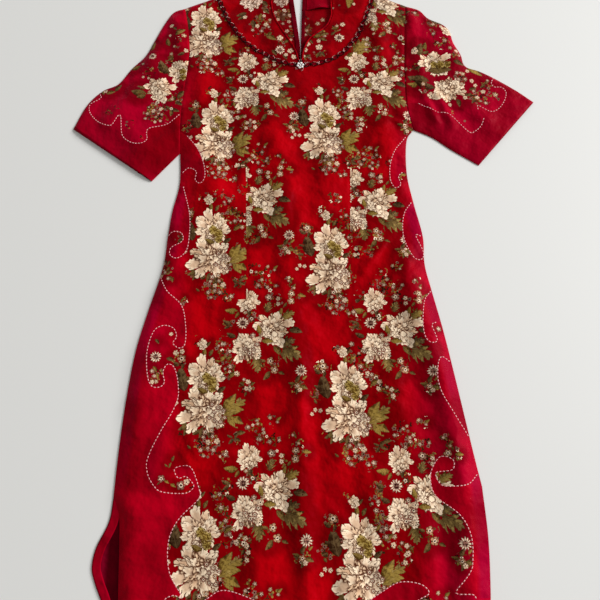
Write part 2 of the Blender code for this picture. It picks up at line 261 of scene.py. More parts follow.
def leaf(shape):
    """A leaf from (0, 0) to (1, 0), with its half width w sin(pi x^0.8)^0.8 cut by forward-pointing teeth.

    On a lobed leaf the teeth are three on a side, and deep. Inks are mottled, darker toward the stem.
    """
    x, y, seed = parts_of(shape)
    tone = seed % 1
    lobed = between(seed, 9.9, 10.1)
    mottle = noise(shape, 5.0, 3.0, 0.7)
    along = node(shape.tree, "Clamp", {}, {0: (mottle - 0.5) * 0.12 + x})
    y = (mottle - 0.5) * 0.1 + y - sine(along * math.pi) * 0.07
    away = abs(y)
    swell = sine(along**0.8 * math.pi) ** 0.8
    saw = ((along - away * 0.75) * (7 - lobed * 3.4)) % 1
    tooth = lower_of(saw, (1 - saw) * 4)
    depth = swell * (0.22 + tooth * 0.05 + lobed * (tooth * 0.36 - 0.06)) - away
    inside = (depth > 0.0) * (x > 0.0) * (x < 1.0)
    vein = zigzag((along - away * 0.9) * 5.5)
    dark, light = blend(tone, DEEP_GREEN, DEEP_OLIVE), blend(tone, GREY_GREEN, OLIVE)
    colour = blend(between(mottle * 1.1 + y, 0.39, 0.75), light, dark)
    colour = blend(lobed * between(mottle, 0.47, 0.62, 0.6), colour, PALE_OLIVE)
    colour = blend(between(along, 0.5, 0.1, 0.5), colour, dark)
    colour = blend(between(vein, 0.13, 0.03, 0.6), colour, dark)
    colour = blend(between(along, 0.72, 1.0) * between(mottle, 0.4, 0.6, 0.6), colour, ink(168, 128, 96))
    colour = blend(between(away, 0.028, 0.006, 0.7), colour, light)
    return blend(between(depth, 0.045, 0.012, 0.75), colour, DEEP_GREEN), inside


def blossom(shape):
    """A small flower, with its petals' edges inked.

    Kinds: 0 white, 1 mauve, 2 beige, 3 a daisy, 4 a leafy star, 5 the olive heart of a peony.
    """
    x, y, seed = parts_of(shape)
    mottle = noise(shape, 3.2, 2.0, 0.7)
    shift_x, shift_y, _ = channels_of(mottle.also("Color"))
    x, y = x + (shift_x - 0.5) * 0.45, y + (shift_y - 0.5) * 0.45
    kind = seed - seed % 1
    daisy, star = between(kind, 2.4, 2.6) - between(kind, 3.4, 3.6), between(kind, 3.4, 3.6)
    olive_heart = kind > 4.5
    reach = (x * x + y * y) ** 0.5
    count = 5 + daisy * 7
    turns = x.maths("ARCTAN2", y, x) * count / math.tau + seed * 3.1
    chance = chance_of(turns.maths("FLOOR", turns) % count + seed * 17.3)
    middle = zigzag(turns)
    side = 1 - middle * 2
    tip = 1.05 - chance * 0.22 - side**2 * (0.24 + daisy * 0.42) - (star - olive_heart) * side * 0.5
    depth = tip - reach
    mauve, beige = between(kind, 0.4, 0.6), between(kind, 1.4, 1.6)
    white = blend(between(kind, 0.6, 0.4, 0.45), CREAM, SHADED_CREAM)
    pale = blend(mauve, white, blend(beige, MAUVE, blend(daisy, SHADED_CREAM, CREAM)))
    colour = blend(between(depth, 0.12, 0.5) * (0.3 + chance * 0.5), pale, blend(mauve, SHADED_CREAM, TAUPE))
    colour = blend(between(mottle, 0.5, 0.62, 0.5) * (mauve - daisy), colour, SHADED_CREAM)
    colour = blend(star, colour, blend(chance, DEEP_GREEN, GREY_GREEN))
    gap = lower_of(depth, middle * reach * 1.2)
    colour = blend(between(gap, 0.17, 0.04) * (0.7 + mauve * 0.2), colour, DARK_BROWN)
    dot = 0.18 + daisy * 0.2
    colour = blend(between(reach, dot + 0.26, dot + 0.16, 0.8), colour, blend(daisy, CREAM, colour))
    heart = blend(daisy * between(mottle, 0.45, 0.55), DARK_BROWN, MAUVE)
    colour = blend(between(reach, dot + 0.06, dot), colour, heart)
    olive = blend(between(reach, 0.2, 0.9), OLIVE, ink(186, 160, 96))
    speckled = blend(between(mottle, 0.4, 0.56), olive, DEEP_OLIVE)
    return blend(olive_heart, colour, speckled), depth > 0


def scattered(place, thickness, size):
    """Tiny flowers and leaves, one to a cell of a given size.

    A cell is bare where its chance is over the thickness.
    """
    cell = node(place.tree, "TexVoronoi", {}, {"Vector": place, "Scale": 1 / size, "Randomness": 0.9})
    first, second, third = channels_of(cell.also("Color"))
    middle_x, middle_y, _ = parts_of(cell.also("Position"))
    x, y, _ = parts_of(place)
    x, y = (x - middle_x) / size, (y - middle_y) / size
    angle = x.maths("ARCTAN2", y, x) + second * math.tau
    reach = (x * x + y * y) ** 0.5
    leafy = third > 0.42
    flower_tip = 0.4 + 0.07 * cosine(angle * 5)
    leaf_tip = 0.6 * abs(cosine(angle * 1.5)) ** 1.3
    depth = flower_tip + leafy * (leaf_tip - flower_tip) - reach
    flower = blend(between(reach, 0.1, 0.17), DARK_BROWN, blend(second, MAUVE, TAUPE))
    flower = blend((first < 0.3) * (second > 0.84) * (reach > 0.16), flower, CREAM)
    flower = blend(between(depth, 0.1, 0.02, 0.6), flower, DARK_BROWN)
    leaves = blend(between(second, 0.3, 0.9), DEEP_GREEN, blend(between(reach, 0.0, 0.5), GREY_GREEN, OLIVE))
    return blend(leafy, flower, leaves), (depth > 0) * (first < thickness)


# The repeat, as charted for the printing screens: each group's shapes about its middle, in millimetres. The
# groups with a panel's name hold what falls only there, about the middle of the dress.
# Heads: across, along, radius, turn, and a number whose fraction sets how low the heart of the flower is.
# Leaves: stem end, length, turn, and tone, from 0 dark to 0.95 olive, with 10 more where it is lobed.
# Blossoms: across, along, radius, and the kind, whose fraction turns it. Patches: place, radius, thickness.

GROUPS = {
    "A": {
        "low": ((-5, -28, 43, 130, 12.35),),
        "high": ((-2, 31, 35, 0, 6.55), (-11, 83, 10, 20, 8.6)),
        "leaves": (
            (29, -36, 46, 36, 10.9), (32, -33, 38, 63, 0.92), (34, -32, 34, 16, 0.95),
            (34, -36, 32, -26, 0.95), (35, -39, 26, -44, 0.85), (-36, 4, 44, 101, 0.08),
            (-46, 46, 15, 150, 0.15), (-40, 50, 12, 250, 0.1), (18, 0, 18, 40, 0.1), (-5, 62, 16, 95, 0.75),
            (-4, 78, 12, 50, 0.2), (2, 62, 14, 62, 0.35), (-26, -50, 20, 208, 0.3), (-28, -50, 14, 165, 0.3),
            (-28, -54, 16, 250, 0.25), (-4, -54, 19, -105, 0.2), (5, -56, 17, -82, 0.15),
            (-8, -58, 15, -145, 0.2), (46, -72, 12, 150, 0.2), (46, -72, 14, 45, 0.15),
            (46, -72, 14, -20, 0.2), (46, -72, 12, -130, 0.1), (51, -66, 16, 15, 0.3),
            (30, 55, 12, 100, 0.75), (31, 58, 10, 20, 0.6), (35, 26, 18, 35, 0.6), (62, 13, 10, 150, 0.2),
            (65, 3, 9, -110, 0.3), (72, 14, 9, 30, 0.3), (-20, -88, 9, 140, 0.3), (-50, 8, 13, 190, 0.15),
            (-48, 22, 12, 160, 0.1), (-54, -4, 10, 120, 0.3),
        ),
        "over": ((2, 2, 20, 158, 0.6), (32, -34, 11, 30, 0.9)),
        "blossoms": (
            (10, -18, 5.2, 1.1), (20, -23, 5.4, 1.4), (29, -28, 5.2, 1.7), (14, -30, 5.2, 1.2),
            (23, -35, 5.2, 2.3), (6, -39, 5, 1.5), (15, -44, 5.2, 1.8), (25, -46, 5.2, 1.3),
            (31, -39, 4.8, 1.6), (21, -54, 5, 2.2), (11, -59, 6, 2.4), (1, -62, 6.4, 1.1), (20, -76, 6, 0.2),
            (6, -78, 5, 0.5), (-2, -70, 4.8, 1.2), (-5, -90, 5.4, 1.4), (15, -90, 5.6, 1.6),
            (6, -87, 4.8, 1.8), (0, -99, 4, 1.5), (13, -69, 4.8, 1.9), (-1, 27, 10, 5.2), (7, 20, 11, 5.5),
            (9, 9, 9, 5.8), (-44, 58, 9.4, 2.25), (26, 83, 5.4, 1.2), (17, 80, 3.6, 1.6), (37, 44, 5.2, 1.3),
            (50, 32, 5, 2.5), (29, 41, 3.6, 1.7), (68, 19, 4.8, 0.2), (70, 8, 5.2, 0.5), (61, 23, 4, 1.3),
            (70, -54, 4.4, 1.3), (84, -44, 4.4, 1.6), (94, -58, 4.6, 1.2), (35, -97, 5.6, 1.3),
            (27, -100, 3, 0.4), (86, -73, 4.6, 1.9), (-49, -15, 4.6, 0.2), (-57, -14, 4.2, 0.5),
            (-62, -21, 4.2, 0.3),
        ),
        "patches": (
            (19, -36, 21, 1.0), (6, -80, 24, 1.0), (24, 83, 15, 0.5), (30, 61, 12, 0.8), (38, 42, 13, 0.6),
            (66, 12, 15, 0.7), (-46, 56, 14, 0.8), (48, -70, 14, 0.6), (78, -50, 17, 0.5),
            (90, -66, 15, 0.5), (-36, -56, 12, 0.4), (-36, 20, 9, 0.9), (30, -98, 12, 0.6),
            (-18, 88, 12, 0.4), (-54, 12, 15, 0.7),
        ),
    },
    "B": {
        "low": ((-26, -25, 29, 10, 4.2),),
        "high": ((18, 8, 35, -15, 2.25), (-24, 56, 22, 0, 6.75)),
        "leaves": (
            (32, 22, 27, 25, 10.8), (30, 27, 17, 75, 0.8), (46, 3, 24, -12, 0.1), (42, 12, 15, 15, 0.7),
            (27, -28, 34, 25, 10.1), (26, -30, 46, -20, 10.3), (-10, -40, 31, -82, 10.4),
            (8, 35, 21, 75, 10.2), (-44, -8, 18, 155, 0.1), (-52, 14, 17, 155, 0.2),
            (-54, 14, 13, 215, 0.15), (-42, 38, 23, 176, 0.85), (-40, 36, 13, -120, 0.7),
            (-68, -50, 14, 50, 0.9), (-68, -50, 10, 170, 0.7), (8, -50, 12, 160, 0.3),
            (28, -68, 12, -20, 0.3), (60, 64, 15, -5, 0.85), (42, 50, 11, -130, 0.4), (58, -86, 15, 60, 0.2),
            (64, -92, 15, -20, 0.4), (62, -94, 13, -110, 0.2), (56, -88, 12, 170, 0.5),
            (68, -82, 11, 40, 0.8), (20, -24, 22, -52, 0.4), (14, -66, 19, -125, 0.3),
            (-24, 42, 15, -85, 0.1), (-4, 84, 10, 150, 0.4), (18, 112, 11, 40, 0.8), (52, 76, 10, 60, 0.5),
            (46, 92, 9, -60, 0.5),
        ),
        "over": ((-2, -3, 18, 105, 0.85), (0, -15, 21, -3, 0.8)),
        "blossoms": (
            (15, -49, 8, 2.1), (22, -64, 8, 2.4), (50, 66, 7.5, 2.2), (49, 53, 8, 2.6), (27, 58, 5, 0.3),
            (27, 49, 5, 0.6), (11, 62, 8, 1.3), (-29, 35, 4.5, 2.2), (-20, -36, 7.5, 1.2),
            (-8, -20, 6.5, 1.5), (-15, -5, 6, 1.7), (-5, -12, 6.5, 0.4), (-13, -30, 6, 1.1),
            (-28, -28, 5.4, 1.9), (-66, -20, 5.6, 1.3), (-52, -58, 5.6, 1.6), (-41, -70, 5.2, 0.5),
            (66, -67, 12, 3.4), (-33, 16, 13, 3.1), (60, -92, 6, 2.4), (64, -98, 5, 0.7), (-22, -84, 5, 0.3),
            (-18, 24, 8, 4.2), (-34, -44, 5, 1.4), (-3, -40, 6, 4.4), (-24, -95, 5, 0.6), (-2, 94, 4.8, 2.2),
            (-8, 84, 5, 1.5), (8, 80, 5, 1.8), (23, 82, 4.4, 1.2), (-12, 108, 3.6, 2.3), (8, 118, 4, 2.5),
            (20, 111, 3.6, 1.6), (45, 90, 3.6, 1.3), (54, 77, 3.4, 2.7),
        ),
        "patches": (
            (-18, 26, 12, 1.0), (-20, -32, 19, 0.7), (-60, -40, 20, 0.55), (24, 54, 16, 0.4),
            (18, -56, 14, 0.6), (61, -92, 14, 0.9), (-58, 14, 14, 0.5), (-24, -90, 14, 0.7),
            (-52, -68, 14, 0.5), (-12, 107, 11, 0.45), (-4, 88, 14, 0.6), (14, 114, 11, 0.4),
            (14, 80, 13, 0.5), (46, 91, 9, 0.45), (54, 77, 9, 0.5), (50, 60, 12, 0.5), (66, 63, 9, 0.5),
        ),
    },
    "left sleeve": {
        "low": ((-242, 386, 28, 20, 4.3),),
        "high": ((-280, 344, 31, -20, 2.2),),
        "leaves": (
            (-265, 376, 39, 117, 0.15), (-260, 383, 30, 158, 0.1), (-303, 331, 32, 168, 0.35),
            (-304, 329, 20, -160, 0.3), (-305, 342, 19, 159, 0.4), (-244, 324, 23, 51, 0.2),
            (-248, 315, 17, -23, 0.1), (-254, 297, 15, 144, 0.25), (-254, 297, 16, -8, 0.15),
            (-254, 297, 15, -93, 0.3), (-302, 435, 22, 73, 0.45), (-321, 397, 22, -168, 0.5),
            (-255, 466, 25, 42, 0.6), (-267, 444, 20, 105, 0.4), (-235, 425, 16, -163, 0.15),
            (-382, 335, 19, 13, 0.6), (-386, 333, 14, 111, 0.7), (-365, 340, 20, 53, 0.2),
            (-262, 485, 13, -35, 0.2), (-258, 418, 15, -140, 0.3),
        ),
        "over": ((-248, 326, 19, -152, 0.5),),
        "blossoms": (
            (-274, 299, 5.6, 0.2), (-288, 296, 5, 0.5), (-299, 290, 5, 1.3), (-302, 279, 4.4, 1.6),
            (-284, 311, 4.6, 1.1), (-271, 286, 4.6, 1.8), (-282, 281, 4.4, 2.2), (-283, 270, 3.6, 0.7),
            (-273, 273, 3.2, 0.4), (-254, 322, 5, 2.4), (-298, 418, 9.6, 3.2), (-316, 402, 4.6, 1.2),
            (-313, 371, 3.6, 0.3), (-302, 367, 3.4, 0.6), (-265, 490, 5.6, 0.1), (-267, 468, 3.6, 0.5),
            (-239, 466, 6.4, 2.7), (-257, 442, 3.2, 0.8), (-262, 425, 5, 2.1), (-233, 430, 6, 0.6),
            (-384, 341, 5, 0.4), (-254, 299, 8, 4.3), (-237, 383, 9, 5.3), (-236, 371, 8, 5.7),
            (-297, 304, 4.6, 4.6),
        ),
        "patches": (
            (-283, 293, 24, 1.0), (-243, 326, 15, 1.0), (-301, 383, 14, 0.5), (-263, 411, 12, 0.6),
            (-276, 392, 13, 1.0), (-372, 289, 9, 0.7), (-358, 300, 6, 0.6), (-330, 267, 11, 0.6),
            (-307, 237, 5, 0.6), (-252, 451, 16, 0.35), (-261, 284, 14, 0.5),
        ),
    },
    "right sleeve": {
        "low": ((251, 404, 34, 0, 2.35),),
        "high": ((278, 343, 36, 180, 14.4), (282, 482, 14, 0, 8.5)),
        "leaves": (
            (317, 397, 36, -40, 0.95), (289, 406, 24, -17, 0.2), (223, 418, 34, 77, 0.2),
            (235, 432, 22, 81, 0.6), (242, 356, 49, 158, 0.15), (221, 353, 25, 170, 0.9),
            (249, 347, 28, 161, 0.1), (213, 386, 16, 26, 0.1), (290, 320, 18, -76, 0.25),
            (304, 329, 17, -7, 0.15), (318, 335, 16, -123, 0.2), (323, 322, 15, -117, 0.15),
            (347, 356, 14, 41, 0.3), (347, 356, 14, -139, 0.2), (200, 522, 15, 31, 0.2),
            (264, 502, 19, -150, 0.1), (252, 512, 29, -37, 0.1), (315, 342, 16, 16, 0.2),
            (243, 432, 18, -156, 0.3),
        ),
        "over": ((240, 386, 47, 3, 0.25),),
        "blossoms": (
            (295, 381, 6, 1.2), (306, 379, 6, 2.3), (297, 367, 6, 1.6), (310, 367, 6, 1.8),
            (302, 356, 6, 2.1), (316, 386, 5.4, 0.3), (322, 363, 5.4, 0.5), (328, 353, 5, 0.2),
            (305, 338, 5.6, 0.8), (305, 322, 6, 0.6), (215, 430, 9, 0.15), (227, 353, 6, 2.6),
            (242, 329, 9.5, 0.35), (329, 325, 5.6, 0.2), (342, 339, 5.6, 0.4), (345, 313, 5.6, 1.3),
            (365, 332, 6.6, 2.7), (324, 340, 5, 1.1), (335, 317, 4, 1.5), (353, 365, 4.4, 1.4),
            (256, 497, 6, 2.2), (271, 490, 4.6, 0.5), (200, 500, 5.6, 2.5), (255, 473, 5.4, 1.2),
            (276, 455, 6, 2.4), (285, 437, 5.4, 2.1), (297, 432, 5.2, 0.2), (221, 524, 6, 1.7),
            (191, 365, 6, 2.2), (196, 390, 5, 2.5), (276, 309, 4.6, 0.5), (262, 451, 5.4, 4.2),
            (251, 401, 9, 5.2), (264, 401, 10, 5.5), (277, 400, 9, 5.8),
        ),
        "patches": (
            (333, 326, 22, 1.0), (356, 329, 15, 0.7), (349, 353, 12, 0.6), (221, 524, 11, 1.0),
            (250, 473, 12, 0.5), (270, 451, 17, 1.0), (296, 423, 12, 0.8), (253, 500, 12, 1.0),
            (237, 500, 6, 0.5), (223, 358, 14, 0.8), (300, 369, 13, 1.0), (228, 340, 12, 0.5),
            (211, 392, 13, 0.4), (280, 291, 5, 0.4), (300, 271, 5, 0.5),
        ),
    },
    "left yoke": {
        "low": ((-107, 554, 27, 0, 5.3),),
        "leaves": (
            (-117, 524, 23, -161, 0.12), (-121, 517, 17, -145, 0.2), (-87, 554, 19, -50, 0.15),
            (-85, 534, 19, -41, 0.25), (-104, 507, 22, -89, 0.1), (-92, 509, 16, 69, 0.8),
            (-77, 468, 24, -24, 0.6), (-73, 466, 14, 57, 0.35), (-41, 451, 15, 39, 0.3),
            (-65, 435, 17, -55, 0.2), (-43, 425, 16, -60, 0.1),
        ),
        "blossoms": (
            (-78, 496, 6.2, 0.2), (-95, 492, 5.6, 0.5), (-104, 482, 5.4, 1.2), (-86, 480, 5.4, 1.6),
            (-120, 514, 5.4, 0.4), (-70, 507, 4.4, 2.3), (-82, 517, 4.6, 0.7), (-50, 463, 8, 0.45),
            (-49, 435, 12, 3.35), (-29, 433, 7.6, 0.2), (-22, 418, 7, 0.6), (-37, 423, 5.4, 0.3),
            (-72, 490, 4.6, 1.4),
        ),
        "patches": (
            (-90, 500, 23, 1.0), (-79, 536, 12, 1.0), (-70, 473, 11, 0.6), (-43, 451, 13, 0.6),
            (-95, 468, 13, 0.4), (-148, 559, 6, 0.4),
        ),
    },
    "right yoke": {
        "leaves": (
            (32, 466, 23, 162, 0.6), (30, 468, 19, 22, 0.35), (30, 463, 16, -27, 0.3),
            (26, 473, 17, 45, 0.3), (10, 458, 11, -58, 0.2), (28, 430, 15, -113, 0.25),
            (30, 430, 15, -50, 0.2), (68, 490, 17, -163, 0.55), (90, 567, 33, -95, 0.85),
            (-2, 416, 16, 27, 0.2), (52, 470, 14, 44, 0.25),
        ),
        "blossoms": (
            (5, 449, 7, 0.2), (1, 435, 6, 0.5), (-2, 420, 4.6, 0.3), (28, 442, 8.4, 0.4), (27, 456, 5, 0.7),
            (68, 464, 12, 3.15), (75, 496, 6.4, 0.2), (64, 492, 4.4, 2.3), (99, 546, 4, 0.5),
            (72, 559, 3, 1.4), (57, 536, 3, 1.2), (40, 468, 4.4, 1.6),
        ),
        "patches": (
            (30, 470, 16, 0.9), (28, 428, 13, 0.7), (10, 461, 8, 0.7), (62, 487, 11, 0.5),
            (66, 549, 13, 0.35), (6, 416, 8, 0.8),
        ),
    },
    "left back": {
        "low": ((-46, 561, 20, 0, 5.4),),
        "leaves": (
            (-44, 507, 27, 90, 0.12), (-48, 512, 16, 130, 0.2), (-40, 517, 18, 56, 0.15),
            (-34, 475, 12, -36, 0.3),
        ),
        "blossoms": (
            (-36, 484, 5.6, 0.2), (-29, 495, 4.4, 1.3), (-30, 522, 5.4, 0.5), (-32, 507, 5, 0.8),
            (-59, 529, 5, 0.3), (-54, 512, 5, 0.6), (-44, 502, 5, 1.6), (-28, 463, 4, 0.4),
            (-42, 524, 5.4, 1.2),
        ),
        "patches": ((-44, 524, 20, 1.0), (-30, 478, 12, 0.7)),
    },
    "right back": {
        "leaves": ((4, 487, 16, 67, 0.2), (4, 480, 13, -117, 0.25), (6, 478, 11, -42, 0.15)),
        "blossoms": (
            (26, 502, 6.6, 2.2), (36, 511, 6.6, 2.6), (-1, 502, 4.4, 0.3), (4, 485, 5, 2.5),
            (2, 475, 4.4, 1.3),
        ),
        "patches": ((4, 485, 13, 1.0), (15, 534, 9, 0.4), (6, 517, 7, 0.4)),
    },
    "right shoulder": {
        "leaves": (
            (95, 425, 47, 45, 10.9), (95, 425, 24, 6, 0.95), (163, 509, 25, -83, 0.5),
            (83, 416, 20, 45, 0.5),
        ),
        "blossoms": (
            (140, 492, 5, 0.2), (135, 480, 4.6, 0.5), (82, 416, 5.6, 0.3), (169, 485, 4, 0.7),
            (190, 463, 8, 3.2), (152, 402, 5, 0.3), (159, 395, 4.4, 1.6), (166, 498, 5.4, 0.1),
            (187, 376, 5.6, 4.3), (190, 392, 5, 0.6), (183, 366, 4.6, 0.2), (191, 408, 4.4, 1.3),
            (225, -131, 6, 1.3),
        ),
        "patches": ((138, 485, 8, 0.5), (188, 384, 14, 0.7), (154, 398, 10, 0.6)),
    },
    "left hip": {
        "leaves": (
            (-252, -150, 11, -50, 0.2), (-247, -6, 12, -70, 0.1), (-238, -8, 10, -110, 0.25),
            (-246, -24, 13, -60, 0.6), (-237, -20, 12, -120, 0.3), (-240, -38, 15, -40, 0.35),
            (-232, -38, 12, -80, 0.5), (-252, -196, 12, -60, 0.7), (-246, -206, 12, -80, 0.9),
            (-250, -216, 11, -50, 0.2), (-232, -182, 15, -15, 0.2), (-214, -82, 8, 40, 0.4),
            (-206, -80, 8, 100, 0.35), (-222, -377, 9, -29, 0.95), (-213, -382, 11, -28, 0.92),
            (-217, -358, 10, 65, 0.5), (-218, -356, 7, 138, 0.35), (-212, -348, 10, 74, 0.3),
            (-229, -379, 6, -134, 0.2),
        ),
        "blossoms": (
            (-249, -180, 11.5, 3.3), (-227, -140, 4.2, 0.2), (-253, -204, 5, 1.3), (-249, -212, 5, 1.6),
            (-246, -221, 5, 2.2), (-252, -222, 4.4, 0.5), (-248, -12, 4.8, 1.4), (-245, -30, 4.8, 1.8),
            (-251, -36, 4.6, 2.3), (-238, -42, 4.8, 1.2), (-217, -172, 6, 0.2), (-207, -170, 5.4, 0.5),
            (-227, -374, 7.6, 1.2), (-196, -384, 9.5, 1.4), (-188, -379, 6, 0.5),
        ),
        "patches": ((-250, -210, 15, 0.5), (-243, -26, 13, 0.5), (-209, -82, 8, 0.6)),
    },
}

# Where the groups fall on the front: the group, across and along to its middle, and which part of the front
# it was on before the darts were sewn: -1 left of them, 1 right, 0 between.
FRONT_GROUPS = (
    ("A", -196, 478, -1), ("A", -164, 250, -1), ("A", -163, 24, -1), ("A", -163, -240, -1),
    ("A", -161, -480, -1), ("B", -87, 351, 0), ("B", -95, 105, 0), ("B", -74, -137, 0), ("B", -66, -397, 0),
    ("B", -62, -650, 0), ("A", 38, 258, 0), ("A", 47, -4, 0), ("A", 72, -253, 0), ("A", 85, -491, 0),
    ("B", 145, 542, 1), ("B", 128, 351, 1), ("B", 111, 98, 1), ("B", 143, -137, 1), ("B", 174, -401, 1),
    ("B", 188, -655, 1), ("right shoulder", 0, 0, 1), ("left hip", 0, 0, -1),
)


LAYERS = ("low", "high", "leaves", "over", "blossoms")
STEMMED = ("leaves", "over")  # the layers whose places are a stem's end, not a middle
SMALL_SCALE, LARGE_SCALE = 0.88, 0.96  # small flowers, and all the rest, beside their charted sizes
FAR_OFF, OFF_SHAPE = (9000, 9000, 1, 0, 0, 0), 9
# In sizes of a shape: where the ink round it starts, how far off its own place is still told, and how much
# farther off it counts as being where a dart's seam comes between.
INK_START, MOST_REACH, ACROSS_DART = 0.85, 25, 50


def shapes_of(placed, layer):
    """A layer's shapes on a panel: rows of across, along, size, turn, seed and side, in metres and radians.

    The first is far off the cloth, so that a layer is never empty.
    """
    rows = [FAR_OFF]
    for group, x, y, side in placed:
        for shape in GROUPS[group].get(layer, ()):
            across, along, size, turn, seed = shape if len(shape) == 5 else (*shape[:3], 0, shape[3])
            size *= SMALL_SCALE if layer == "blossoms" and seed < 5 else LARGE_SCALE
            rows.append((x + across, y + along, size, math.radians(turn), seed, side))
    return np.array(rows) * (MM, MM, MM, 1, 1, 1)


def tell(mesh, name, values):
    """Gives each point of a mesh a number that its materials read by name."""
    mesh.attributes.new(name, "FLOAT", "POINT").data.foreach_set("value", values.astype(np.float32))


def print_on(mesh, placed, side_of=None, edge_of_print=None):
    """Gives each face of a panel the nearest shape of every layer, as its corners' places in that shape.

    Its points are told how near a shape is, how thick the scattered flowers are, and how far away the closed
    edges and the border are. The panel's plan is its texture map, in two halves for a sleeve's two layers.
    """
    corners = np.empty(len(mesh.loops), np.int32)
    mesh.loops.foreach_get("vertex_index", corners)
    points = np.empty(len(mesh.vertices) * 3, np.float32)
    mesh.vertices.foreach_get("co", points)
    points = points.reshape(-1, 3)[:, :2]
    middles = points[corners].reshape(-1, 4, 2).mean(axis=1)
    sides = side_of(middles) if side_of else None
    near = np.full(len(middles), 50 * MM)
    for layer in LAYERS:
        shapes = shapes_of(placed, layer)
        turned = np.column_stack([np.cos(shapes[:, 3]), np.sin(shapes[:, 3])])
        centres = shapes[:, :2].copy()
        if layer in STEMMED:
            centres += 0.5 * shapes[:, 2:3] * turned
        gaps = np.hypot(*np.moveaxis(middles[:, None] - centres[None], -1, 0)) / shapes[:, 2]
        if side_of:
            gaps[(sides[:, None] < 2) & (sides[:, None] != shapes[None, :, 5])] += ACROSS_DART
        near = np.minimum(near, ((gaps - INK_START) * shapes[None, :, 2]).min(axis=1))
        nearest = np.repeat(gaps.argmin(axis=1), 4)
        away = points[corners] - shapes[nearest, :2]
        along, across = turned[nearest].T
        place = np.column_stack([away[:, 0] * along + away[:, 1] * across,
                                 away[:, 1] * along - away[:, 0] * across]) / shapes[nearest, 2:3]
        place[np.repeat(gaps.min(axis=1), 4) > MOST_REACH] = OFF_SHAPE
        values = np.column_stack([place, shapes[nearest, 4]]).astype(np.float32)
        mesh.attributes.new(layer, "FLOAT_VECTOR", "CORNER").data.foreach_set("vector", values.ravel())
    tell(mesh, "near", np.bincount(corners, np.repeat(near, 4)) / np.bincount(corners))
    thick = np.zeros(len(points))
    for group, x, y, _ in placed:
        for across, along, radius, most in GROUPS[group]["patches"]:
            gap = np.hypot(*(points - np.array((x + across, y + along)) * MM).T) / (radius * MM)
            thick = np.maximum(thick, most * np.clip(3 * (1 - gap), 0, 1))
    tell(mesh, "thickness", thick)
    spans = points[corners].reshape(-1, 4, 2)
    first, second = spans[:, 2] - spans[:, 0], spans[:, 3] - spans[:, 1]
    under = first[:, 0] * second[:, 1] < first[:, 1] * second[:, 0]
    flat = (points[corners] - points.min(axis=0)) / (np.ptp(points, axis=0).max() * 1.02)
    if under.any() and not under.all():
        flat = flat / 2 + np.repeat(under, 4)[:, None] * (0.5, 0)
    mesh.uv_layers.new(name="OFBake").data.foreach_set("uv", flat.astype(np.float32).ravel())
    tell(mesh, "rim", closed_edge_distance(points))
    tell(mesh, "border", edge_of_print(points) if edge_of_print else np.full(len(points), 0.02))


SHAPE = ("Shape", "Vector")
PEONY, LEAF = drawing("peony", peony, SHAPE), drawing("leaf", leaf, SHAPE)
BLOSSOM = drawing("blossom", blossom, SHAPE)
SCATTERED = drawing("scattered", scattered, ("Place", "Vector"), ("Thickness", "Float"), ("Size", "Float"))
TINY_CELLS = (0.0058, 0.0088)  # the sizes of the cells that hold one tiny flower or leaf each
# The third colour is painted sheen: the crimson that the printed ground takes toward the sides.
RED, DEEP_RED, SHEEN_CRIMSON = ink(172, 0, 9), ink(112, 0, 6), ink(166, 0, 34)


def plain_ground(place, cloudy):
    """The plain satin: red, with painted sheen that turns it crimson toward the sides, the cuffs and the
    closed edges, painted light along the left edge and beside the left armhole, and painted shade at both
    armholes.
    """
    x, y, _ = parts_of(place)
    on_sleeve = between(y, 0.1, 0.22)
    # Painted sheen: darker and more crimson toward the sides, and from nearer the body on the sleeves.
    outward = between(on_sleeve * 0.1 + abs(x + 0.01), 0.27, 0.32)
    # Painted sheen and light: a crimson band along the closed edges, lighter on the left, where the edge
    # rounds away from the lamp, and left off low on the left by the slit and on the sleeves.
    rim = between(node(place.tree, "Attribute", {"attribute_name": "rim"}, {}).also("Fac"), 0.026, 0.014)
    beside_slit = between(x, -0.2, -0.26) * between(y, -0.35, -0.4)
    rim = (1 - on_sleeve) * (1 - beside_slit) * rim
    crimson = blend(between(x, 0, -0.1), ink(154, 0, 40), ink(172, 0, 40))
    ground = blend(rim, blend(outward, ink(170, 0, 24), ink(150, 0, 28)), crimson)
    # Painted shade: darker on the left sleeve next to its armhole.
    left_arm_shade = between(x, -0.234, -0.238) * between(x, -0.34, -0.27) * on_sleeve
    ground = blend(left_arm_shade * 0.8, ground, ink(130, 0, 5))
    # Painted shade: darker on the right sleeve below its armpit.
    right_arm_shade = between(x, 0.198, 0.204) * between(x, 0.27, 0.225) * between(y, 0.34, 0.28) * on_sleeve
    ground = blend(right_arm_shade * 0.6, ground, ink(112, 0, 10))
    # Painted light: lighter on the body beside the left armhole.
    beside_arm = between(x, -0.238, -0.234) * between(x, -0.17, -0.19)
    left_side_light = beside_arm * between(y, 0.17, 0.21) * between(y, 0.36, 0.3)
    ground = blend(left_side_light * 0.7, ground, ink(204, 0, 22))
    return blend(between(cloudy, 0.4, 0.7, 0.6), ground, ink(136, 0, 18))


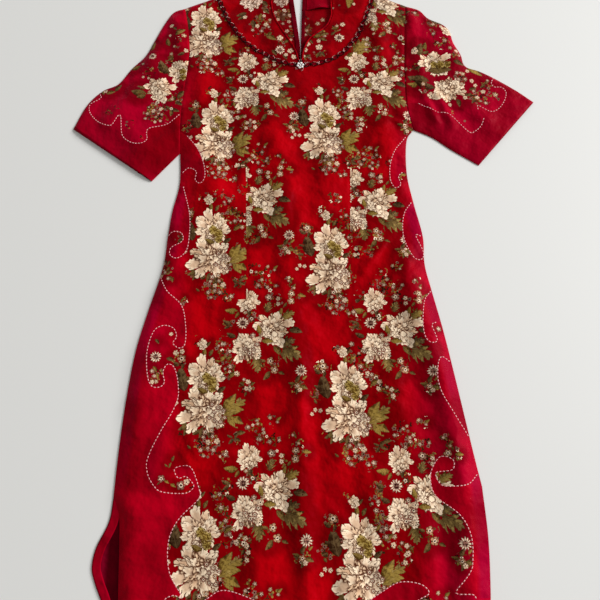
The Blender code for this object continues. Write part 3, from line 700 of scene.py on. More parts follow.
def whole_print(place):
    """The ground, under every layer of the print among the flowers, and the distance from the border."""
    tree = place.tree

    def given(attribute, output):
        return node(tree, "Attribute", {"attribute_name": attribute}, {}).also(output)

    def after(colour, vector):
        """The same place, moved by a ten-millionth of a colour, so that its layer is worked out after it."""
        return node(tree, "VectorMath", {"operation": "MULTIPLY_ADD"},
                    {0: colour, 1: (1e-7, 1e-7, 0), 2: vector})

    cloudy = noise(place, 9.0)
    border = given("border", "Fac")
    x, y, _ = parts_of(place)
    # Painted sheen: the printed ground turns crimson toward the sides of the dress.
    sheen_toward_sides = between(abs(x + 0.02), 0.16, 0.26)
    ground = blend(between(border, -0.0004, 0.0004), plain_ground(place, cloudy),
                   blend(sheen_toward_sides, RED, SHEEN_CRIMSON))
    ground = blend(between(cloudy, 0.42, 0.7, 0.4), ground, DEEP_RED)
    # Painted shade: darker in the middle from the upper chest up, over the yokes and the back's inside at
    # the neck opening.
    ground = blend(between(abs(x + 0.02), 0.17, 0.11) * between(y, 0.28, 0.38, 0.4), ground, DEEP_RED)
    printed = blend(between(given("near", "Fac"), 0.010, -0.003, 0.6), ground, ink(96, 0, 2))
    thickness = given("thickness", "Fac") * 0.6
    slow = noise(place, 46.0)
    printed = blend(between(thickness, 0.6, 0.85, 0.8) * between(slow, 0.35, 0.5), printed, ink(52, 12, 6))
    printed = blend((abs(slow - 0.5) < 0.012) * (thickness > 0.25), printed, DEEP_OLIVE)
    for size in TINY_CELLS:
        tiny = node(tree, "Group", {"node_tree": SCATTERED},
                    {"Place": after(printed, place), "Thickness": thickness, "Size": size})
        printed = blend(tiny.also("Cover"), printed, tiny)
    for layer, group in (
        ("leaves", LEAF), ("low", PEONY), ("high", PEONY), ("over", LEAF), ("blossoms", BLOSSOM),
    ):
        shapes = node(tree, "Group", {"node_tree": group}, {"Shape": after(printed, given(layer, "Vector"))})
        printed = blend(shapes.also("Cover"), printed, shapes)
    return blend(border > -0.0002, ground, printed), border


PRINT = drawing("print", whole_print, ("Place", "Vector"))


def new_finish(name, inputs_from):
    """A material whose shader's inputs are worked out from the place on the piece."""
    made = bpy.data.materials.new(name)
    made.use_nodes = True
    tree = made.node_tree
    place = node(tree, "TexCoord", {}, {}).also("Object")
    feed(tree, tree.nodes["Principled BSDF"], inputs_from(place))
    return made


def satin_finish(name, colour_from):
    """Satin: a fine twill under a soft gloss, slightly crinkled."""

    def inputs_from(place):
        x, y, _ = parts_of(place)
        twill = sine((x + y * 3) * 5200)
        slub = noise(place, 420.0)
        soft = noise(place, 27.0, 3.0, 0.42)
        crinkle = node(place.tree, "Bump", {}, {"Strength": 1.0, "Distance": 0.011, "Height": soft})
        bump = node(place.tree, "Bump", {},
                    {"Strength": 0.06, "Distance": 0.0002, "Height": twill * 0.3 + slub, "Normal": crinkle})
        return {"Base Color": colour_from(place), "Normal": bump, "Roughness": 0.42 + slub * 0.1,
                "Specular IOR Level": 0.03, "Specular Tint": (1.0, 0.05, 0.3, 1), "Sheen Weight": 0.14,
                "Sheen Roughness": 0.35, "Sheen Tint": (0.9, 0.0, 0.24, 1)}

    return new_finish(name, inputs_from)


def printed_colour(place):
    return node(place.tree, "Group", {"node_tree": PRINT}, {"Place": place})


def wrong_side_colour(place):
    """The print as it shows through to the wrong side, duller and browner, and darker still with painted
    shade, with a painted shadow inside the left slit that is darkest next to the front's edge.
    """
    cloudy = noise(place, 60.0)
    print_over = printed_colour(place)
    plain = between(print_over.also("Cover"), 0.0004, -0.0004, 0.85)
    # Duller and browner as the print shows through, and darker with painted shade.
    dull_and_shaded = blend(0.2 + cloudy * 0.25, blend(plain, print_over, ink(92, 0, 20)), ink(88, 6, 14))
    across = parts_of(place)[0]
    # Painted shadow inside the left slit, darkest next to the front's edge.
    deep = blend(between(across, -0.311, -0.3), ink(136, 6, 36), ink(56, 0, 6))
    return blend(between(across, -0.26, -0.28, 0.85), dull_and_shaded, deep)


def clouded(scale, detail, start, end, light, dark):
    """A colour for plain cloth, in slow patches of light and dark."""
    return lambda place: blend(between(noise(place, scale, detail), start, end), light, dark)


satin = satin_finish("printed satin", printed_colour)
satin_wrong_side = satin_finish("printed satin wrong side", wrong_side_colour)
plain_satin = satin_finish("plain satin", clouded(14.0, 3.0, 0.35, 0.7, ink(158, 0, 28), ink(136, 0, 20)))
tape_satin = satin_finish("tape satin", clouded(30.0, 2.0, 0.35, 0.7, ink(102, 0, 14), ink(80, 0, 8)))


# Curves: seams and edges are smooth curves through a few knots, and each panel's grid of points fills the
# space between its edges.


def run_of(route):
    """How far along a route each of its points is."""
    return np.concatenate([[0], np.cumsum(np.hypot(*np.diff(route, axis=0).T))])


def places_along(route, at):
    """The places at given distances along a route."""
    run = run_of(route)
    return np.stack([np.interp(at, run, route[:, 0]), np.interp(at, run, route[:, 1])], -1)


def curve_through(knots, steps):
    """Points evenly spaced along a Catmull-Rom curve through knots that are given in millimetres."""
    knots = np.array(knots, float) * MM
    if len(knots) == 2:
        return np.linspace(knots[0], knots[1], steps + 1)
    ends = (2 * knots[0] - knots[1], 2 * knots[-1] - knots[-2])
    padded = np.vstack([ends[0], knots, ends[1]])
    fine = []
    for before, here, there, after in zip(padded, padded[1:], padded[2:], padded[3:]):
        t = np.linspace(0, 1, 24, endpoint=False)[:, None]
        fine.append(0.5 * (2 * here + (there - before) * t
                           + (2 * before - 5 * here + 4 * there - after) * t**2
                           + (3 * here - before - 3 * there + after) * t**3))
    fine = np.vstack([*fine, knots[-1:]])
    return places_along(fine, np.linspace(0, run_of(fine)[-1], steps + 1))


def joined(*stretches):
    """Stretches that follow each other, with their shared ends once."""
    return np.vstack([stretches[0], *[stretch[1:] for stretch in stretches[1:]]])


def moved_left(points, distance):
    """The route moved by a distance to the left of its direction."""
    along = np.gradient(points, axis=0)
    along /= np.hypot(*along.T)[:, None]
    return points + distance * np.column_stack([-along[:, 1], along[:, 0]])


def straight(start, end, steps):
    return np.linspace(start, end, steps + 1)


def patch(left, right, near, far):
    """A grid of points inside four edges: both ways between opposite edges, less the corners' own blend."""
    u = np.linspace(0, 1, len(near))[None, :, None]
    v = np.linspace(0, 1, len(left))[:, None, None]
    corners = ((1 - u) * (1 - v) * left[0] + u * (1 - v) * right[0] + (1 - u) * v * left[-1]
               + u * v * right[-1])
    return ((1 - u) * left[:, None] + u * right[:, None] + (1 - v) * near[None] + v * far[None]
            - corners)


def strip_between(left, right, steps):
    """A grid of points from one long edge to another, with straight ends."""
    return patch(left, right, straight(left[0], right[0], steps), straight(left[-1], right[-1], steps))


# The cut, as it lies: the same knots that the solids follow.

ARMPIT_LEFT, ARMPIT_RIGHT = (-233, 207), (204, 257)
SHOULDER_LEFT, SHOULDER_RIGHT = (-242, 538), (204, 544)
NECK_LEFT, NECK_RIGHT = (-88, 606), (69, 606)
SLIT_LEFT, SLIT_RIGHT = (-302, -400), (277, -386)
HEM_CENTRE, YOKE_BOTTOM, OPENING_BOTTOM = (-10, -600), (-9, 398), (-9, 413)
SIDE_LEFT = (SLIT_LEFT, (-300, -330), (-295, -250), (-286, -170), (-271, -103), (-250, -20), (-245, 40),
             (-240, 88), (-230, 145), ARMPIT_LEFT)
SIDE_RIGHT = (SLIT_RIGHT, (268, -336), (248, -215), (233, -130), (218, -60), (209, -12), (209, 40),
              (196, 106), (187, 165), (190, 232), ARMPIT_RIGHT)
SLIT_FRONT_LEFT = ((-277, -608), (-282, -548), (-287, -470), (-291, -428), SLIT_LEFT)
SLIT_BACK_LEFT = ((-298, -608), (-304, -560), (-318, -528), (-326, -504), (-322, -475), (-306, -438),
                  SLIT_LEFT)
SLIT_FRONT_RIGHT = ((272, -582), (277, -530), (280, -460), SLIT_RIGHT)
ARMHOLE_LEFT = (ARMPIT_LEFT, (-236, 290), (-230, 370), (-226, 424), (-232, 485), SHOULDER_LEFT)
ARMHOLE_RIGHT = (ARMPIT_RIGHT, (194, 305), (193, 360), (195, 416), (199, 480), SHOULDER_RIGHT)
SLEEVE_TOP_LEFT = (SHOULDER_LEFT, (-264, 529), (-281, 500), (-297, 462), (-313, 424), (-338, 394),
                   (-361, 359), (-390, 343), (-417, 311), (-438, 259))
SLEEVE_TOP_RIGHT = (SHOULDER_RIGHT, (231, 534), (248, 514), (276, 499), (289, 482), (294, 456), (307, 426),
                    (313, 400), (340, 388), (366, 373), (406, 345), (438, 318))
SLEEVE_UNDER_LEFT = (ARMPIT_LEFT, (-256, 180), (-282, 149))
SLEEVE_UNDER_RIGHT = (ARMPIT_RIGHT, (239, 240), (273, 214), (321, 182))
YOKE_SEAM_LEFT = (YOKE_BOTTOM, (-38, 403), (-72, 420), (-113, 449), (-142, 487), (-163, 528), (-177, 566.7))
YOKE_SEAM_RIGHT = (YOKE_BOTTOM, (30, 404), (66, 421), (98, 458), (118, 500), (132, 543), (143, 572))
NECKLINE_LEFT = ((-13, 411), (-19, 434), (-32, 460), (-47, 486), (-61, 514), (-67, 542), (-70, 570),
                 NECK_LEFT)
NECKLINE_RIGHT = ((-5, 411), (-2, 436), (10, 462), (30, 480), (45, 496), (53, 520), (53, 545), (54, 570),
                  NECK_RIGHT)
OPENING_LEFT = (OPENING_BOTTOM, (-10, 451), (-16, 506), (-23, 562), (-26, 590))
OPENING_RIGHT = (OPENING_BOTTOM, (-8, 451), (-7, 506), (-5, 562), (-4, 590))
BACK_NECK_LEFT = ((-26, 590), (-58, 593), (-76, 598), NECK_LEFT)
BACK_NECK_RIGHT = ((-4, 590), (35, 593), (56, 598), NECK_RIGHT)


# The lie of the cloth: the back is flat, and the front layer rounds up from the closed edges and folds.

CLOTH_WALL, SEAM_GAP, AIR, EDGE_ROUND = 1.2 * MM, 0.3 * MM, 3.0 * MM, 32 * MM
EDGE_GAP, EDGE_RISE, SEAM_SINK, SEAM_REACH = 0.05 * MM, 6 * MM, 1.1 * MM, 3 * MM
SATIN = 0.5 * MM  # the satin's own thickness
CLOSED_EDGES = [
    joined(curve_through(SLIT_FRONT_LEFT, 8), curve_through(SIDE_LEFT, 32),
           curve_through(SLEEVE_UNDER_LEFT, 6)),
    joined(curve_through(SLIT_FRONT_RIGHT, 8), curve_through(SIDE_RIGHT, 32),
           curve_through(SLEEVE_UNDER_RIGHT, 8)),
    joined(curve_through((NECK_LEFT, SHOULDER_LEFT), 2), curve_through(SLEEVE_TOP_LEFT, 24)),
    joined(curve_through((NECK_RIGHT, SHOULDER_RIGHT), 2), curve_through(SLEEVE_TOP_RIGHT, 24)),
]
# The broad folds: the two ends of each crest, its height and half width.
FOLDS = (
    # the fold down the middle, from the chest to the hem
    (-71, 313, -35, 122, 5, 26), (-35, 122, -27, -78, 4, 26), (-27, -78, -8, -197, 5, 22),
    (-8, -197, -7, -394, 5, 24), (-8, -190, -7, -394, 5, 11), (-7, -394, 2, -548, 5, 20),
    (2, -500, 6, -590, 4, 11),
    # along the right edge and the left edge
    (172, -1, 189, -100, 7, 24), (189, -100, 224, -203, 6, 26), (224, -203, 241, -330, 7, 24),
    (241, -330, 246, -590, 7, 24), (-245, 38, -252, -64, 4, 28), (-252, -64, -269, -250, 4, 26),
    (-269, -250, -276, -421, 3, 24), (-272, -421, -262, -590, 3, 26),
    # the chest
    (-202, 241, -165, 120, 5, 24), (-214, 411, -195, 329, 4, 24), (-170, 120, -206, 34, 4, 24),
    (142, 315, 151, 215, 4, 24), (175, 358, 181, 284, 3, 14), (143, 492, 148, 428, 4, 20),
    (-101, 280, -110, 178, 3, 18), (46, 194, 30, 102, 3, 20), (-10, 102, -17, 34, 3, 16),
    # the skirt
    (-262, -166, -252, -266, 3, 30), (-228, -298, -231, -376, 4, 20), (-88, -406, -67, -548, 4, 30),
    (105, -361, 121, -435, 4, 26), (52, -464, 65, -548, 3, 24), (148, -217, 155, -314, 3, 20),
    (-129, -361, -122, -435, 3, 22), (40, -250, 48, -361, 3, 26), (178, -420, 186, -560, 3, 22),
    # short pulls at the waist, the left hem, the armholes and the sleeves
    (102, -27, 143, 26, 3, 8), (114, -56, 156, -4, 3, 9), (136, -60, 169, -27, 3, 8),
    (97, 15, 119, 41, 2, 7), (-217, -295, -185, -351, 3, 8), (-198, -295, -173, -342, 3, 7),
    (-232, -361, -193, -385, 2, 9), (-226, 262, -173, 280, 3, 8), (-217, 237, -160, 241, 2, 8),
    (187, 262, 150, 284, 3, 8), (186, 237, 137, 245, 2, 7), (-318, 335, -367, 275, 4, 22),
    (-305, 416, -280, 347, 3, 18), (-352, 280, -290, 215, 3, 24), (-258, 302, -294, 262, 2, 12),
    (229, 324, 248, 271, 3, 8), (256, 324, 278, 262, 3, 9), (302, 324, 340, 280, 3, 18),
    (283, 487, 297, 411, 4, 20), (222, 416, 226, 342, 3, 12), (212, 512, 216, 439, 3, 12),
    (-262, 505, -240, 440, 3, 14), (-250, 470, -236, 400, 3, 12),
)
# Small creases, most of them near upright: both ends, height and half width, as for the folds.
chance, count = np.random.default_rng(7), 170
crease_turn = chance.normal(1.5, 0.6, count)
crease_reach = np.column_stack([np.cos(crease_turn), np.sin(crease_turn)])
crease_reach = crease_reach * chance.uniform(6, 26, (count, 1)) * MM
crease_middle = np.column_stack([chance.uniform(-300, 290, count), chance.uniform(-600, 560, count)]) * MM
CREASES = np.column_stack([crease_middle - crease_reach, crease_middle + crease_reach,
                           chance.uniform(0.3, 1.1, count) * MM, chance.uniform(4.5, 9, count) * MM])
DART_TOP, DART_FOOT = 175, -78
LEFT_DART = np.array([(-102, DART_FOOT), (-109, DART_TOP)]) * MM
RIGHT_DART = np.array([(77, DART_FOOT), (83, DART_TOP)]) * MM
SEWN_IN = [curve_through(ARMHOLE_LEFT, 24), curve_through(ARMHOLE_RIGHT, 24), LEFT_DART, RIGHT_DART]


def distance_to(points, start, end):
    """The distance from each point to the straight line between two ends."""
    run = end - start
    share = np.clip(((points - start) @ run) / (run @ run), 0, 1)
    return np.hypot(*np.moveaxis(points - start - share[..., None] * run, -1, 0))


def distance_to_route(points, route):
    near = np.full(points.shape[:-1], np.inf)
    for start, end in zip(route, route[1:]):
        near = np.minimum(near, distance_to(points, start, end))
    return near


def ridge(points, row):
    """A Gaussian ridge, h exp(-(d/r)^2), from a row of two ends, height and half width."""
    return row[4] * np.exp(-((distance_to(points, row[:2], row[2:4]) / row[5]) ** 2))


def folds_at(points):
    """The height that folds and creases add. Folds that meet join as the cube root of their cubes' sum."""
    cubes = np.zeros(points.shape[:-1])
    for row in np.array(FOLDS, float) * MM:
        cubes += ridge(points, row) ** 3
    return 1.65 * np.cbrt(cubes) + sum(ridge(points, row) for row in CREASES)


def closed_edge_distance(points):
    return np.min([distance_to_route(points, route) for route in CLOSED_EDGES], axis=0)


def front_level(points):
    """The outside of the front layer: on the back at closed edges, rounding up from them, sunk at seams."""
    away = closed_edge_distance(points)
    inside = np.clip(away / EDGE_ROUND, 0, 1)
    rise = 1 - (1 - inside) ** 2
    edge = CLOTH_WALL + SATIN + EDGE_GAP
    base = edge + (2 * CLOTH_WALL + SEAM_GAP - edge) * np.clip(away / EDGE_RISE, 0, 1)
    sewn = np.min([distance_to_route(points, route) for route in SEWN_IN], axis=0)
    sunk = SEAM_SINK * rise * np.exp(-((sewn / SEAM_REACH) ** 2))
    return base + (AIR + folds_at(points)) * rise - sunk


def back_level(points):
    return np.full(points.shape[:-1], CLOTH_WALL)


# Cloth meshes: grids of points, welded where they meet.


def quads_of(grids):
    """All the grids' points in one array, and their faces, with points that coincide used once."""
    points = np.vstack([grid.reshape(-1, grid.shape[-1]) for grid in grids])
    faces, first = [], 0
    for grid in grids:
        rows, columns = grid.shape[:2]
        index = first + np.arange(rows * columns).reshape(rows, columns)
        around = [index[:-1, :-1], index[:-1, 1:], index[1:, 1:], index[1:, :-1]]
        faces.append(np.stack(around, -1).reshape(-1, 4))
        first += rows * columns
    _, kept, where = np.unique(np.round(points, 6), axis=0, return_index=True, return_inverse=True)
    return points[kept], where.reshape(-1)[np.vstack(faces)]


def mesh_of(name, points, faces, tube=False):
    """A mesh of quads whose faces all look up or, on a tube, all outward, as the highest one does."""
    corners = points[faces]
    turned = np.cross(corners[:, 1] - corners[:, 0], corners[:, 3] - corners[:, 0])[:, 2] < 0
    if tube:
        turned[:] = turned[corners[..., 2].mean(axis=1).argmax()]
    faces = np.where(turned[:, None], faces[:, ::-1], faces)
    mesh = bpy.data.meshes.new(name)
    mesh.vertices.add(len(points))
    mesh.vertices.foreach_set("co", points.astype(np.float32).ravel())
    mesh.loops.add(faces.size)
    mesh.loops.foreach_set("vertex_index", faces.astype(np.int32).ravel())
    mesh.polygons.add(len(faces))
    mesh.polygons.foreach_set("loop_start", np.arange(0, faces.size, 4, dtype=np.int32))
    mesh.update(calc_edges=True)
    mesh.validate()
    mesh.shade_smooth()
    return mesh


def add_piece(name, mesh, stands_for, slot, *materials):
    """Adds a piece to the dress. It replaces the solid that it stands for, if there is one."""
    piece = bpy.data.objects.new(name, mesh)
    bpy.context.collection.objects.link(piece)
    for finish in materials:
        mesh.materials.append(finish)
    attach(piece, "root")
    if stands_for:
        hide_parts(stands_for)
    return piece


def add_satin(name, points, faces, stands_for, *materials, tube=False):
    """A piece of satin: quads for its outer side, with its thickness and its other side under them."""
    mesh = mesh_of(name, points, faces, tube)
    piece = add_piece(name, mesh, stands_for, "printed_satin", *materials)
    shell = piece.modifiers.new("thickness", "SOLIDIFY")
    shell.thickness = SATIN
    shell.offset = -1
    shell.material_offset = len(materials) - 1
    return piece


def add_cloth(name, grids, level, stands_for, *materials):
    """A panel of satin: plan grids laid at their level."""
    plan, faces = quads_of(grids)
    return add_satin(name, np.column_stack([plan, level(plan)]), faces, stands_for, *materials)


# Border: the cloth outside the flowers is left plain, and a scroll line divides the two. The stitched parts
# of the line show, and between them it runs off the panel.

STITCHED, OFF = True, False
LEFT_BORDER = (
    (STITCHED, ((-221, 240), (-198, 209), (-186, 178), (-183, 153), (-191, 141), (-201, 149), (-200, 165),
        (-215, 174), (-227, 165))),
    (OFF, ((-260, 160), (-260, 140))),
    (STITCHED, ((-223, 138), (-207, 77), (-206, 24), (-215, 3), (-227, -4), (-238, 3), (-237, 16),
        (-217, 28), (-220, 43), (-235, 47), (-245, 40))),
    (OFF, ((-290, 38), (-290, -35))),
    (STITCHED, ((-253, -37), (-238, -65), (-213, -89), (-204, -123), (-203, -156), (-212, -164),
        (-223, -156), (-218, -144), (-224, -130), (-240, -126), (-256, -137), (-264, -170), (-261, -208),
        (-253, -228), (-240, -230), (-233, -222), (-236, -205), (-230, -192), (-218, -198), (-210, -228),
        (-213, -260), (-248, -333), (-251, -362), (-238, -385), (-224, -394), (-192, -396), (-180, -391),
        (-177, -383), (-189, -371), (-200, -373), (-206, -367), (-207, -358), (-191, -354), (-180, -360),
        (-168, -389), (-168, -404), (-198, -435), (-211, -467), (-207, -509), (-186, -543), (-199, -541),
        (-212, -548), (-206, -566), (-180, -568), (-148, -545), (-123, -534), (-76, -547), (-40, -566),
        (0, -572), (50, -566), (85, -552), (111, -537), (139, -523), (170, -525), (182, -537), (165, -548),
        (158, -562), (190, -574), (240, -566), (268, -570))),
)
RIGHT_BORDER = (
    (OFF, ((310, -568), (310, -546))),
    (STITCHED, ((251, -544), (245, -538), (225, -538), (224, -532), (243, -509), (249, -494), (250, -458),
        (235, -427), (201, -398), (196, -368), (208, -344), (219, -340), (230, -345), (232, -353),
        (227, -361), (206, -364), (204, -370), (209, -380), (219, -385), (252, -382), (271, -367))),
    (OFF, ((310, -360), (310, -309))),
    (STITCHED, ((262, -309), (227, -253), (216, -222), (217, -195), (225, -180), (241, -187))),
    (OFF, ((280, -180), (280, -119))),
    (STITCHED, ((222, -119), (213, -126), (220, -151), (208, -156), (199, -144), (197, -116), (203, -82),
        (217, -62))),
    (OFF, ((260, -60), (250, 40))),
    (STITCHED, ((206, 40), (196, 40), (208, 10), (204, -4), (190, -4), (178, 17), (173, 53), (178, 84),
        (192, 106))),
    (OFF, ((240, 110), (230, 165))),
    (STITCHED, ((179, 167), (171, 157), (174, 141), (164, 134), (156, 149), (156, 178), (166, 209),
        (189, 241))),
    (OFF, ((260, 300), (260, 700), (-300, 700), (-300, 300))),
)
LEFT_CUFF_BORDER = (
    (STITCHED, ((-394, 335), (-392, 325), (-409, 314), (-412, 305), (-408, 291), (-393, 273), (-375, 263),
        (-363, 263), (-352, 281), (-347, 277), (-343, 244), (-331, 230), (-316, 224), (-302, 225),
        (-295, 233), (-297, 247), (-292, 257), (-259, 268), (-238, 289))),
    (OFF, ((-180, 300), (-180, 640), (-460, 640), (-440, 360))),
)
RIGHT_CUFF_BORDER = (
    (STITCHED, ((215, 313), (244, 295), (276, 284), (307, 251), (319, 252), (331, 263), (337, 278))),
    (STITCHED, ((327, 295), (329, 305), (351, 294), (367, 300), (380, 317), (386, 337), (379, 349),
        (364, 350), (360, 360), (366, 372))),
    (OFF, ((420, 400), (400, 640), (150, 640), (150, 313))),
)


def closed_route(border):
    """The border's line as one closed route: its stitched curves, and the way round outside the panel."""
    route = np.vstack([curve_through(knots, 8 * len(knots)) if stitched else np.array(knots, float) * MM
                       for stitched, knots in border])
    return np.vstack([route, route[:1]])


def inside_of(border):
    """A function that gives the distance from the border, more than 0 among the flowers.

    A point is inside where a level line from it to the right crosses the route an odd number of times.
    """
    route = closed_route(border)

    def signed(points):
        points = np.asarray(points, float)
        crossed = np.zeros(len(points), bool)
        near = distance_to_route(points, route)
        for start, end in zip(route, route[1:]):
            if start[1] != end[1]:
                between_them = (points[:, 1] < start[1]) != (points[:, 1] < end[1])
                at = start[0] + (points[:, 1] - start[1]) * (end[0] - start[0]) / (end[1] - start[1])
                crossed ^= between_them & (points[:, 0] < at)
        return np.where(crossed, near, -near)

    return signed


FRONT_BORDER = LEFT_BORDER + RIGHT_BORDER


# Front: one panel from armhole to armhole under the yoke seam. Two darts take it in from bust to hip, and
# the print doesn't meet across them. Its columns of points follow the darts.

SLIT_ROWS, SIDE_ROWS, CENTRE_ROWS, SEAM_ROWS = 44, 148, 26, 58
OUTER_COLUMNS = np.concatenate([[0, 0.004, 0.010, 0.022], np.linspace(0.045, 1, 34)])
INNER_COLUMNS = np.linspace(0, 1, 27)[1:]
USUAL_SHARE = 0.57


def side_rail(slit, side, armhole, inset, turn):
    """The outer edge of a panel, from the hem to the shoulder. The armhole is drawn in for its seam."""
    upper = moved_left(curve_through(armhole, CENTRE_ROWS + SEAM_ROWS), turn * inset)
    lower = joined(curve_through(slit, SLIT_ROWS), curve_through(side, SIDE_ROWS))
    return np.vstack([lower[:-1], upper])


def ruled_past(dart, outer, inner):
    """Rows of points from the outer edge to the inner one, spaced so that one column runs along the dart.

    The share of a row that lies outside the dart fades to a usual share past the dart's ends.
    """
    (x0, y0), (x1, y1) = dart
    normal = np.array((y1 - y0, x0 - x1))
    share = ((dart[0] - outer) @ normal) / ((inner - outer) @ normal)
    height = outer[:, 1] + share * (inner[:, 1] - outer[:, 1])
    outside = np.maximum(y0 - height, height - y1) - 20 * MM
    hold = np.clip(outside / (120 * MM), 0, 1)
    hold = hold * hold * (3 - 2 * hold)
    share = (np.clip(share, 0.3, 0.8) * (1 - hold) + USUAL_SHARE * hold)[:, None]
    columns = np.concatenate([share * OUTER_COLUMNS, share + (1 - share) * INNER_COLUMNS], 1)
    return outer[:, None] + columns[..., None] * (inner - outer)[:, None]


at_slits, at_armpits = (-10, SLIT_LEFT[1]), (-9, ARMPIT_LEFT[1] + 30)
centre = joined(curve_through((HEM_CENTRE, at_slits), SLIT_ROWS),
                curve_through((at_slits, at_armpits), SIDE_ROWS),
                curve_through((at_armpits, YOKE_BOTTOM), CENTRE_ROWS))
front_halves = []
for slit, side, armhole, seam, dart, turn in (
    (SLIT_FRONT_LEFT, SIDE_LEFT, ARMHOLE_LEFT, YOKE_SEAM_LEFT, LEFT_DART, -1),
    (SLIT_FRONT_RIGHT, SIDE_RIGHT, ARMHOLE_RIGHT, YOKE_SEAM_RIGHT, RIGHT_DART, 1),
):
    outer = side_rail(slit, side, armhole, SEAM_GAP / 2, turn)
    around = moved_left(curve_through(seam, SEAM_ROWS), -turn * SEAM_GAP / 2)
    around[0] = centre[-1]
    front_halves.append(ruled_past(dart, outer, joined(centre, around)))


def side_of_darts(points):
    """-1 left of the left dart, 1 right of the right one, 0 between them, and 2 above and below them."""
    level = (points[:, 1] > DART_FOOT * MM) & (points[:, 1] < DART_TOP * MM)
    left = np.interp(points[:, 1], LEFT_DART[:, 1], LEFT_DART[:, 0])
    right = np.interp(points[:, 1], RIGHT_DART[:, 1], RIGHT_DART[:, 0])
    return np.where(level, np.where(points[:, 0] < left, -1, np.where(points[:, 0] > right, 1, 0)), 2)


front = add_cloth("front", front_halves, front_level, "front_body", satin, satin_wrong_side)
print_on(front.data, FRONT_GROUPS, side_of_darts, inside_of(FRONT_BORDER))


# Yoke: two curved pieces of the same cloth between the yoke seam and the neckline.

YOKE_STEPS, NECK_INSET = 70, 1.8 * MM
yokes = {}
for side, seam, neckline, turn in (("left", YOKE_SEAM_LEFT, NECKLINE_LEFT, 1),
                                   ("right", YOKE_SEAM_RIGHT, NECKLINE_RIGHT, -1)):
    outer = moved_left(curve_through(seam, YOKE_STEPS), -turn * SEAM_GAP / 2)
    outer[0, 0] -= turn * SEAM_GAP
    inner = moved_left(curve_through(neckline, YOKE_STEPS), turn * NECK_INSET)
    yokes[side] = add_cloth(f"yoke_{side}", [strip_between(outer, inner, 26)], front_level,
                            f"front_yoke_{side}", satin, satin_wrong_side)
    print_on(yokes[side].data, [(f"{side} yoke", 0, 0, 0)])


# Sleeves: short set-in sleeves, each one a tube that lies flat with its fold at the top and its seam below.

AROUND_STEPS, SLEEVE_STEPS = 72, 54
FOLD_MARGIN, SLEEVE_FLOOR, FOLD_LEVEL = 1.0 * MM, 0.02 * MM, 1.35 * MM
sleeves = {}


def ring_levels(grid):
    """A sleeve's rings: each row of the plan, out along the table and back over the top.

    The lower layer lies at the table and the upper one at the front's level, and the two ends round off.
    """
    last = grid.shape[1] - 1
    width = np.hypot(*(grid[:, -1] - grid[:, 0]).T)[:, None]
    margin = FOLD_MARGIN / width
    at = (margin + np.linspace(0, 1, last + 1) * (1 - 2 * margin)) * last
    first = np.minimum(at.astype(int), last - 1)
    rows = np.arange(len(grid))[:, None]
    plan = grid[rows, first] + (at - first)[..., None] * (grid[rows, first + 1] - grid[rows, first])
    under = np.concatenate([plan, np.full(plan.shape[:2] + (1,), SLEEVE_FLOOR)], -1)
    over = np.concatenate([plan, front_level(plan)[..., None]], -1)
    tips = [np.concatenate([grid[:, end], np.full((len(grid), 1), FOLD_LEVEL)], -1)[:, None]
            for end in (0, -1)]
    return np.concatenate([tips[0], under, tips[1], over[:, ::-1], tips[0]], 1)


for side, armhole, top, under, border, turn in (
    ("left", ARMHOLE_LEFT, SLEEVE_TOP_LEFT, SLEEVE_UNDER_LEFT, LEFT_CUFF_BORDER, 1),
    ("right", ARMHOLE_RIGHT, SLEEVE_TOP_RIGHT, SLEEVE_UNDER_RIGHT, RIGHT_CUFF_BORDER, -1),
):
    seam = moved_left(curve_through(armhole, AROUND_STEPS), turn * SEAM_GAP / 2)[::-1]
    upper = curve_through(top, SLEEVE_STEPS)
    lower = curve_through(under, SLEEVE_STEPS)
    upper[0], lower[0] = seam[0], seam[-1]
    plan = patch(upper, lower, seam, straight(upper[-1], lower[-1], AROUND_STEPS))
    points, faces = quads_of([ring_levels(plan)])
    sleeves[side] = add_satin(f"sleeve_of_{side}", points, faces, f"sleeve_{side}", satin, satin_wrong_side,
                              tube=True)
    print_on(sleeves[side].data, [(f"{side} sleeve", 0, 0, 0)], None, inside_of(border))


# Back: two panels with a seam between them that stays open at the neck. The side that shows is the inside.

OPENING_ROWS = 60
backs = {}
BODY_GROUPS = [placed for placed in FRONT_GROUPS if placed[2] < 400]
for side, slit, body, armhole, opening, neck, turn in (
    ("left", SLIT_BACK_LEFT, SIDE_LEFT, ARMHOLE_LEFT, OPENING_LEFT, BACK_NECK_LEFT, 1),
    ("right", SLIT_FRONT_RIGHT, SIDE_RIGHT, ARMHOLE_RIGHT, OPENING_RIGHT, BACK_NECK_RIGHT, -1),
):
    outer = side_rail(slit, body, armhole, SEAM_GAP / 2, -turn)
    seam = curve_through((HEM_CENTRE, OPENING_BOTTOM), len(outer) - OPENING_ROWS - 1)
    inner = moved_left(joined(seam, curve_through(opening, OPENING_ROWS)), turn * SEAM_GAP / 2)
    inner[-1] = np.array(opening[-1]) * MM
    far = joined(curve_through((np.array(outer[-1]) / MM, neck[-1]), 24), curve_through(neck, 16)[::-1])
    grid = patch(outer, inner, straight(outer[0], inner[0], len(far) - 1), far)
    backs[side] = add_cloth(f"back_panel_{side}", [grid], back_level, f"back_{side}", satin_wrong_side,
                            satin)
    print_on(backs[side].data, [*BODY_GROUPS, (f"{side} back", 0, 0, 0)], None, inside_of(FRONT_BORDER))


# Facings: dark red tape down both edges of the back's opening, and shaped pieces of plain satin at its neck.
# They lie flat on the back, but for one corner that stands away.

LIFTED, LIFT, LIFT_REACH = np.array((32, 534)) * MM, 5 * MM, 15 * MM
TAPE_LEVEL, FACING_LEVEL = 2.1 * MM, 2.4 * MM


